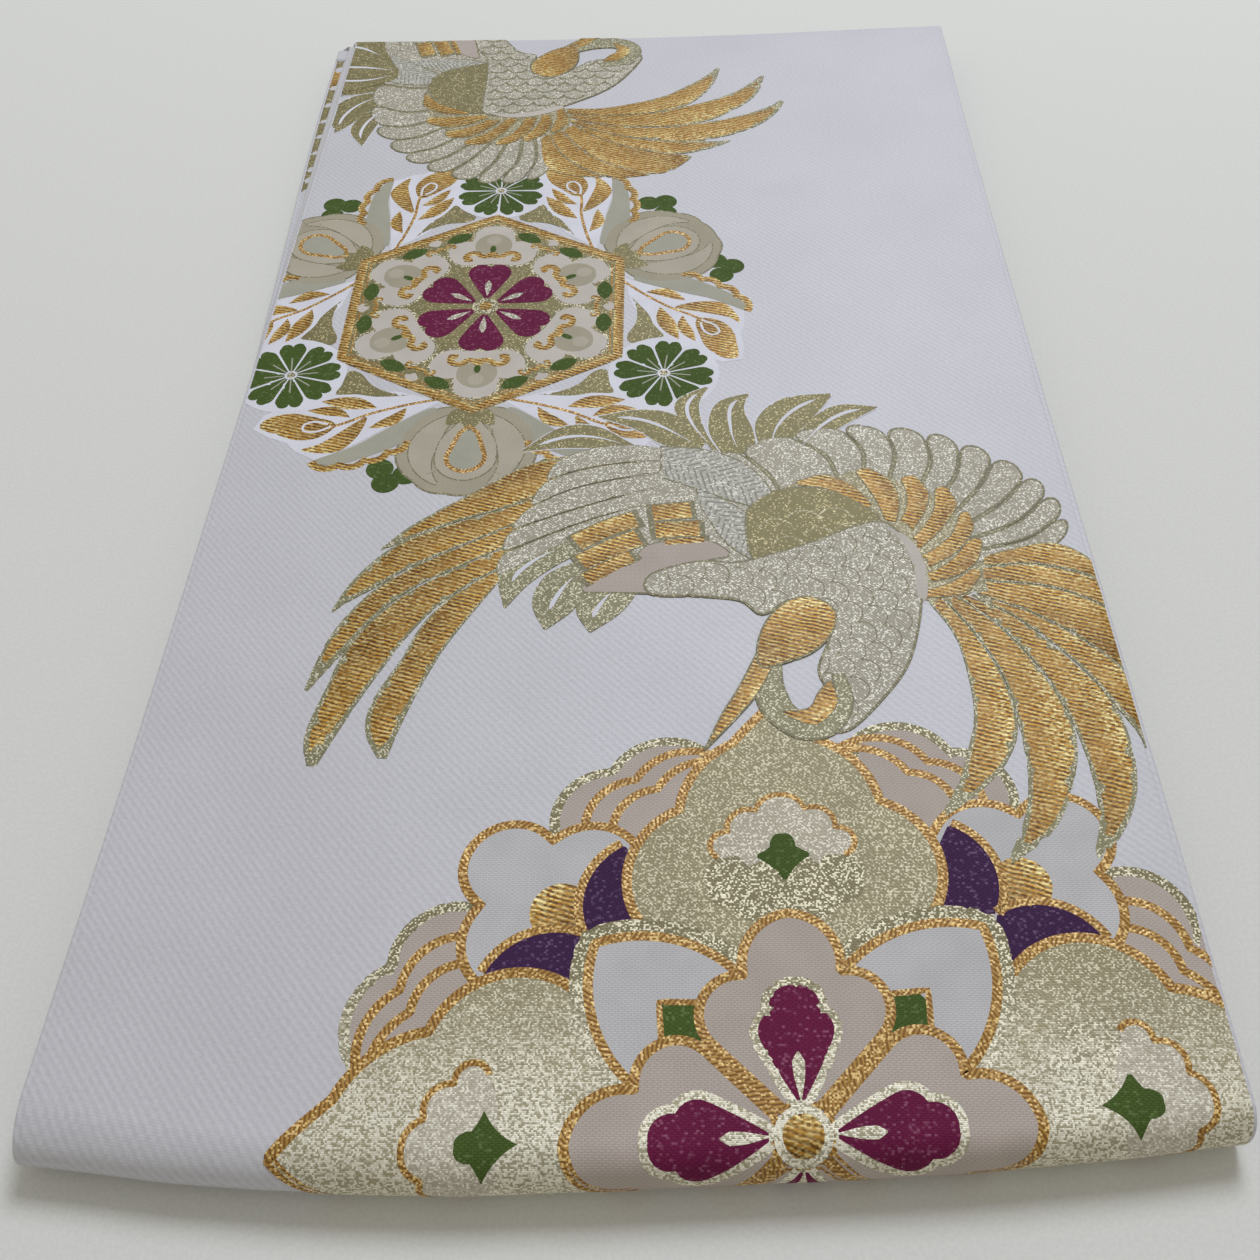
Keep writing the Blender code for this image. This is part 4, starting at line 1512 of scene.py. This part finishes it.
def finished(shader, colour, height, relief, cloudSize=14 * mm, amount=0.08):
    # slow changes of brightness and the relief
    tree = shader.id_data
    dimmed = (1 - amount, 1 - amount, 1 - amount, 1.0)
    darker = mixed(1.0, colour, dimmed, "MULTIPLY")
    share = between(noise(tree, cloudSize, 3.0), 0.3, 0.7)
    tree.links.new(mixed(share, darker, colour), shader.inputs["Base Color"])
    bump = node("Bump", {"Height": height, "Distance": relief})
    tree.links.new(bump, shader.inputs["Normal"])


def groundMaterial():
    material, tree, shader = newMaterial("pale_ground_weave", roughness=0.5, gloss=0.5)
    grain = between(noise(tree, 1.3 * mm, 1.0), 0.3, 0.7)
    height = timesPlus(grain, 0.35, weftHeight(tree, "ground", 0.4, 0.25))
    # lighter on the weft floats and darker between them: partly the weave's own dashes, partly painted shade
    # between the floats
    colour = mixed(height, shade(187, 185, 186), shade(204, 202, 203))
    finished(shader, colour, height, 0.05 * mm, cloudSize=40 * mm, amount=0.04)
    return material


def liningMaterial():
    material, tree, shader = newMaterial("cream_lining", roughness=0.5)
    onFloat, crown = wefts(tree, "lining")
    height = times(crown, timesPlus(onFloat, 0.4, 0.6))
    colour = mixed(height, shade(186, 182, 178), shade(206, 203, 201))
    finished(shader, colour, height, 0.05 * mm, cloudSize=30 * mm, amount=0.05)
    return material


def silkMaterial(name, light, dark, paintedHighlightFleck=None):
    # a patch of silk weft; on the dark shades a pale fleck, a painted highlight of the satin, shows now and
    # then
    material, tree, shader = newMaterial(name, roughness=0.6, gloss=0.06 if paintedHighlightFleck else 0.2)
    height = weftHeight(tree, "silk", 0.5, 0.5)
    colour = mixed(height, dark, light)
    if paintedHighlightFleck:
        bright = floats(tree, weaves["silk"][0], 0.8 * mm, 0.08, 0.1)
        colour = mixed(times(bright, 0.7), colour, paintedHighlightFleck)
    # a steady difference from patch to patch
    colour = mixed(times(attribute(tree, "tone"), 0.15), colour, dark)
    finished(shader, colour, height, 0.06 * mm)
    return material


lame = {
    # painted highlight: the shade of metal painted as facing the light where the cloth turns at the near fold
    "paintedFlash": shade(252, 246, 226),  # metal thread that faces the light
    # how far before the middle the cloth starts to turn down at the near fold, and has turned
    "turnStart": 0.225,
    "turnEnd": 0.275,
    # painted highlight: how much lighter the metal is painted at the near fold, and how many more painted
    # glints it takes there
    "paintedHighlightShare": 0.42,  # how much lighter the metal is there
    "paintedGlintCover": 0.16,  # how much more of it catches the light
}


def lameMaterial(name, light, dark, spark, cover, metallic=0.15, paintedShine=0.7):
    # flat metal thread laid in short floats, some of which are painted bright as glints that catch the light;
    # towards the near fold the metal is painted lighter, a painted highlight
    material, tree, shader = newMaterial(name, roughness=0.45, metallic=metallic)
    height = weftHeight(tree, "lame", 0.45, 0.55)
    row = weaves["lame"][0]
    _, lengthwise = apart(tree, "cloth")
    # painted highlight: a mask that grows where the cloth turns down at the near fold, scaled by the painted
    # shine
    turned = between(times(lengthwise, -1.0), lame["turnStart"], lame["turnEnd"])
    turned = times(turned, paintedShine)
    colour = mixed(height, dark, light)
    colour = mixed(times(turned, lame["paintedHighlightShare"]), colour, spark)
    more = times(floats(tree, row, 0.80 * mm, cover + lame["paintedGlintCover"]), turned)
    bright = maths("MAXIMUM", floats(tree, row, 0.52 * mm, cover), more)
    colour = mixed(bright, colour, mixed(turned, spark, lame["paintedFlash"]))
    finished(shader, colour, plus(height, bright), 0.05 * mm, cloudSize=18 * mm)
    return material


gold = {
    "light": shade(210, 158, 63),
    "dark": shade(92, 57, 12),
    "spark": shade(255, 236, 164),
    "shadow": (0.66, 0.62, 0.56, 1.0),  # what the shaded side of a feather keeps of its colour
    "roughness": 0.42,
    "metallic": 0.1,
    "row": 0.50 * mm,
    "rib": 1.6 * mm,
    "slant": 0.3,
    # the outline thread
    "outlineLight": shade(178, 134, 64),
    "outlineDark": shade(122, 84, 34),
    "outlineSpark": shade(238, 204, 134),
    "turn": 1.5 * mm,
}


def goldMaterial():
    # gold thread: soft slanting ribs with painted highlight and painted shade, one side of each feather
    # painted darker as painted shade, and painted glints that gather at the two sides of a feather
    material, tree, shader = newMaterial("gold_twill", gold["roughness"], gold["metallic"])
    across, lengthwise = apart(tree, "cloth")
    ribs = maths("DIVIDE", timesPlus(across, gold["slant"], lengthwise), gold["rib"])
    ribs = timesPlus(noise(tree, 6 * mm), 0.9, ribs)
    wave = maths("SINE", times(ribs, 2 * pi))
    clear = between(noise(tree, 9 * mm), 0.35, 0.65)
    grain = maths("SUBTRACT", noise(tree, 1.1 * mm, 1.0), 0.5)
    rib = times(wave, timesPlus(clear, 0.40, 0.24))
    height = timesPlus(grain, 0.8, plus(rib, 0.5))
    # lighter on the rib crests and darker between the ribs: partly the thread's own tones, partly painted
    # highlight and painted shade
    colour = mixed(height, gold["dark"], gold["light"])
    # painted shade: one side of each feather is painted darker, as if it turned away from the light
    side = attribute(tree, "side")
    shaded = mixed(1.0, colour, gold["shadow"], "MULTIPLY")
    colour = mixed(between(side, -0.75, 0.35), shaded, colour)
    # painted glints: sparks gather at the two sides of each feather, as if its raised threads caught the
    # light
    edge = between(maths("ABSOLUTE", maths("SUBTRACT", side, -0.2)), 0.35, 1.1)
    bright = floats(tree, gold["row"], 0.9 * mm, 0.45, 0.6)
    bright = times(bright, timesPlus(between(wave, -0.4, 0.7), 0.6, 0.4))
    catching = times(bright, timesPlus(edge, 0.6, 0.4))
    colour = mixed(catching, colour, gold["spark"])
    finished(shader, colour, plus(height, catching), 0.07 * mm, cloudSize=12 * mm, amount=0.14)
    return material


def outlineMaterial():
    # the outline thread, its turns slanting across it, with painted glints
    material, tree, shader = newMaterial("gold_outline", gold["roughness"], gold["metallic"])
    lengthwise, across = apart(tree, "thread")
    turns = maths("DIVIDE", plus(lengthwise, times(across, 0.8)), gold["turn"])
    strand = between(maths("SINE", times(turns, 2 * pi)), -1.3, 1.1)
    colour = mixed(strand, gold["outlineDark"], gold["outlineLight"])
    bright = floats(tree, gold["row"], 0.6 * mm, 0.22, 0.3)
    colour = mixed(bright, colour, gold["outlineSpark"])
    finished(shader, colour, strand, 0.08 * mm, cloudSize=12 * mm, amount=0.10)
    return material


def barbedMaterial(name, light, dark, spark):
    # silver thread with the barbs of a feather slanting from its middle line, and painted glints
    material, tree, shader = newMaterial(name, roughness=0.5, metallic=0.05)
    lengthwise, across = apart(tree, "thread")
    slant = timesPlus(maths("ABSOLUTE", across), -0.9, lengthwise)
    wave = maths("SINE", times(slant, 2 * pi / (2.8 * mm)))
    _, crown = wefts(tree, "barbs")
    height = times(between(wave, -0.95, -0.1), timesPlus(crown, 0.4, 0.6))
    colour = mixed(height, dark, light)
    colour = mixed(floats(tree, 0.55 * mm, 0.7 * mm, 0.16, 0.1), colour, spark)
    finished(shader, colour, height, 0.05 * mm, amount=0.06)
    return material


def floorMaterial():
    material, tree, shader = newMaterial("pale_paper", roughness=0.85)
    at = node("TexCoord", {}, "Object", tree)
    grain = node("TexNoise", {"Vector": at, "Scale": 900.0, "Detail": 4.0})
    colour = mixed(between(grain, 0.35, 0.65), shade(216, 215, 206), shade(221, 220, 211))
    tree.links.new(colour, shader.inputs["Base Color"])
    return material


# how each thread looks: its maker, its finish, the light and dark shades and the spark shade, which is
# painted glint, and for flat metal thread the share painted as sparks, how metallic it is and the strength of
# its painted highlight at the near fold
dyesAndPaintedLight = {
    "oliveLame": (lameMaterial, "olive_lame", (136, 127, 86), (104, 96, 58), (224, 208, 156), 0.08),
    "petalLame": (lameMaterial, "petal_lame", (157, 148, 114), (118, 109, 76), (212, 203, 170), 0.26),
    "crestLame": (lameMaterial, "crest_lame", (182, 173, 151), (148, 139, 115), (232, 225, 202),
                  0.24, 0.1, 0.4),
    "tipLame": (lameMaterial, "tip_lame", (144, 139, 106), (110, 105, 74), (216, 209, 178), 0.22),
    "champagneLame": (lameMaterial, "champagne_lame", (138, 129, 94), (94, 86, 54), (236, 228, 194), 0.30),
    "silverThread": (lameMaterial, "silver_thread", (184, 177, 155), (114, 108, 88), (246, 240, 222),
                     0.19, 0.05, 0.1),
    "silverBarbs": (barbedMaterial, "silver_barbs", (176, 173, 158), (132, 129, 114), (220, 217, 203)),
    "greyLine": (lameMaterial, "grey_lame", (134, 128, 98), (104, 98, 70), (196, 188, 150), 0.12, 0.05, 0.2),
    "sageSilk": (silkMaterial, "sage_silk", (175, 172, 153), (153, 150, 131)),
    "sandSilk": (silkMaterial, "sand_silk", (174, 166, 142), (152, 144, 120)),
    "blushSilk": (silkMaterial, "blush_silk", (190, 177, 165), (168, 155, 143)),
    "lotusSilk": (silkMaterial, "lotus_silk", (187, 178, 158), (167, 158, 138)),
    "creamSilk": (silkMaterial, "cream_silk", (203, 195, 182), (183, 175, 161)),
    "whiteSilk": (silkMaterial, "white_silk", (199, 197, 194), (180, 178, 175)),
    "brightSilk": (silkMaterial, "bright_silk", (228, 227, 231), (208, 207, 212)),
    "plumSilk": (silkMaterial, "plum_silk", (116, 34, 71), (89, 23, 53), (164, 104, 126)),
    "purpleSilk": (silkMaterial, "purple_silk", (73, 43, 79), (50, 30, 60), (128, 104, 132)),
    "greenSilk": (silkMaterial, "green_silk", (80, 99, 45), (58, 76, 32), (114, 132, 82)),
}
face = groundMaterial()
lining = liningMaterial()
threads = {"goldThread": goldMaterial(), "goldOutline": outlineMaterial()}
# each maker paints the thread's own shades, its painted glints and, for flat metal thread, its painted
# highlight at the near fold
for thread, (dyed, name, *rest) in dyesAndPaintedLight.items():
    threads[thread] = dyed(name, *[shade(*value) if isinstance(value, tuple) else value for value in rest])
print("threads dyed:", len(threads) + 2, "finishes")


# The five stretches of the sash, each one or two closed walls of cloth.

# spans across the top stretch and across the lower ones
fine = 64
coarse = 24
topUnder = shifted(nearTurn, sash["topUnder"])
secondUnder = shifted(nearTurn, sash["secondUnder"])
thirdUnder = shifted(nearTurn, sash["thirdUnder"])
topBack = shifted(farTurn, -sash["topBack"])
secondBack = shifted(farTurn, -sash["secondBack"])
seam = sash["seam"]


def topStretch():
    rows = flatRows(4, topBack, farTurn, 8, fine, side=-1)
    rows += foldRows("topFar", 20, fine, upward=True)
    rows += flatRows(1, farTurn, nearTurn, 130, fine)
    rows += foldRows("topNear", 30, fine)
    rows += flatRows(8, nearTurn, topUnder, 5, fine, side=-1)
    return clothShell("top_cloth", [clothStrip(rows)], (face, lining))


def secondStretch():
    rows = flatRows(3, secondBack, tightTurn, 3, coarse, side=-1)
    rows += foldRows("tightFar", 12, coarse, upward=True)
    rows += flatRows(2, tightTurn, nearTurn, 50, coarse)
    rows += foldRows("secondNear", 22, coarse)
    rows += flatRows(7, nearTurn, secondUnder, 4, coarse, side=-1)
    return clothShell("second_cloth", [clothStrip(rows)], (lining, face))


def thirdStretch():
    rows = flatRows(3, shifted(secondBack, -seam), nearTurn, 50, coarse)
    rows += foldRows("thirdNear", 20, coarse)
    rows += flatRows(6, nearTurn, thirdUnder, 4, coarse, side=-1)
    return clothShell("third_cloth", [clothStrip(rows)], (face, lining))


def innerStretch():
    rows = flatRows(4, shifted(topBack, -seam), nearTurn, 40, coarse)
    rows += foldRows("innerNear", 16, coarse)
    rows += flatRows(5, nearTurn, farTurn, 40, coarse, side=-1)
    rows += foldRows("innerFar", 16, coarse, side=-1)
    rows += flatRows(6, farTurn, shifted(thirdUnder, seam), 40, coarse)
    folded = clothStrip(rows)
    teEnd = shifted(farTurn, sash["farDepth"] - sash["teEnd"])
    tail = flatRows(7, teEnd, shifted(secondUnder, seam), 50, coarse)
    flat, quads, uv, isLining = clothStrip(tail, closeStart=1)
    faceUp = (flat, quads, uv, [not value for value in isLining])
    return clothShell("inner_cloth", [folded, faceUp], (lining, face))


def underStretch():
    tareEnd = shifted(farTurn, sash["farDepth"] - sash["tareEnd"])
    rows = flatRows(8, shifted(topUnder, seam), tareEnd, 50, coarse, side=-1)
    return clothShell("under_cloth", [clothStrip(rows, closeEnd=1)], (face, lining))


top = topStretch()
second = secondStretch()
third = thirdStretch()
inner = innerStretch()
under = underStretch()

drawHexagon()
drawCranes()
drawLowerFlower()
drawMargin()
woven = sewAll(threads)


# The floor, the light and the camera.

studio = {
    "floor": 6.0,
    "floorDrop": 0.05 * mm,
    "cameraPlace": (0.00947, -0.37207, 0.3353),
    "cameraTurn": (38.54, 1.07, 0.65),
    "lens": 35.6,
    "sensor": 36.0,
    "clipStart": 0.01,
    "worldShade": (1.0, 0.985, 0.95, 1.0),
    "worldStrength": 0.42,
    # a wide soft light behind the sash
    "lightPlace": (0.60, 2.0, 2.7),
    "lightSize": 1.4,
    "lightPower": 81.0,
    "lightShade": (0.81, 0.86, 1.0),
}


def addFloor():
    bpy.ops.object.select_all(action="DESELECT")
    bpy.ops.mesh.primitive_plane_add(size=studio["floor"], location=(0, 0, -studio["floorDrop"]))
    floor = bpy.context.object
    floor.name = "pale_floor"
    floor.data.materials.append(floorMaterial())


def addLight():
    at = Vector(studio["lightPlace"])
    bpy.ops.object.light_add(type="AREA", location=at, rotation=(-at).to_track_quat("-Z", "Y").to_euler())
    lamp = bpy.context.object
    lamp.name = "soft_back_light"
    lamp.data.shape = "DISK"
    lamp.data.size = studio["lightSize"]
    lamp.data.energy = studio["lightPower"]
    lamp.data.color = studio["lightShade"]
    world = bpy.data.worlds.new("pale_room")
    world.use_nodes = True
    world.node_tree.nodes["Background"].inputs[0].default_value = studio["worldShade"]
    world.node_tree.nodes["Background"].inputs[1].default_value = studio["worldStrength"]
    bpy.context.scene.world = world


def addCamera():
    bpy.ops.object.camera_add(location=studio["cameraPlace"],
                              rotation=[radians(angle) for angle in studio["cameraTurn"]])
    camera = bpy.context.object
    camera.data.lens = studio["lens"]
    camera.data.sensor_width = studio["sensor"]
    camera.data.clip_start = studio["clipStart"]
    bpy.context.scene.camera = camera


addFloor()
addLight()
addCamera()
bpy.context.scene.view_settings.view_transform = "Standard"
print("floor, light and camera placed")


# Which piece stands for which solid.

def standFor(piece, solid):
    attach(piece, "root")
    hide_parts(solid)


for piece in woven.values():
    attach(piece, "root")
standFor(top, "top_stretch")
standFor(second, "second_stretch")
standFor(third, "third_stretch")
standFor(inner, "inner_folds")
standFor(under, "under_stretch")
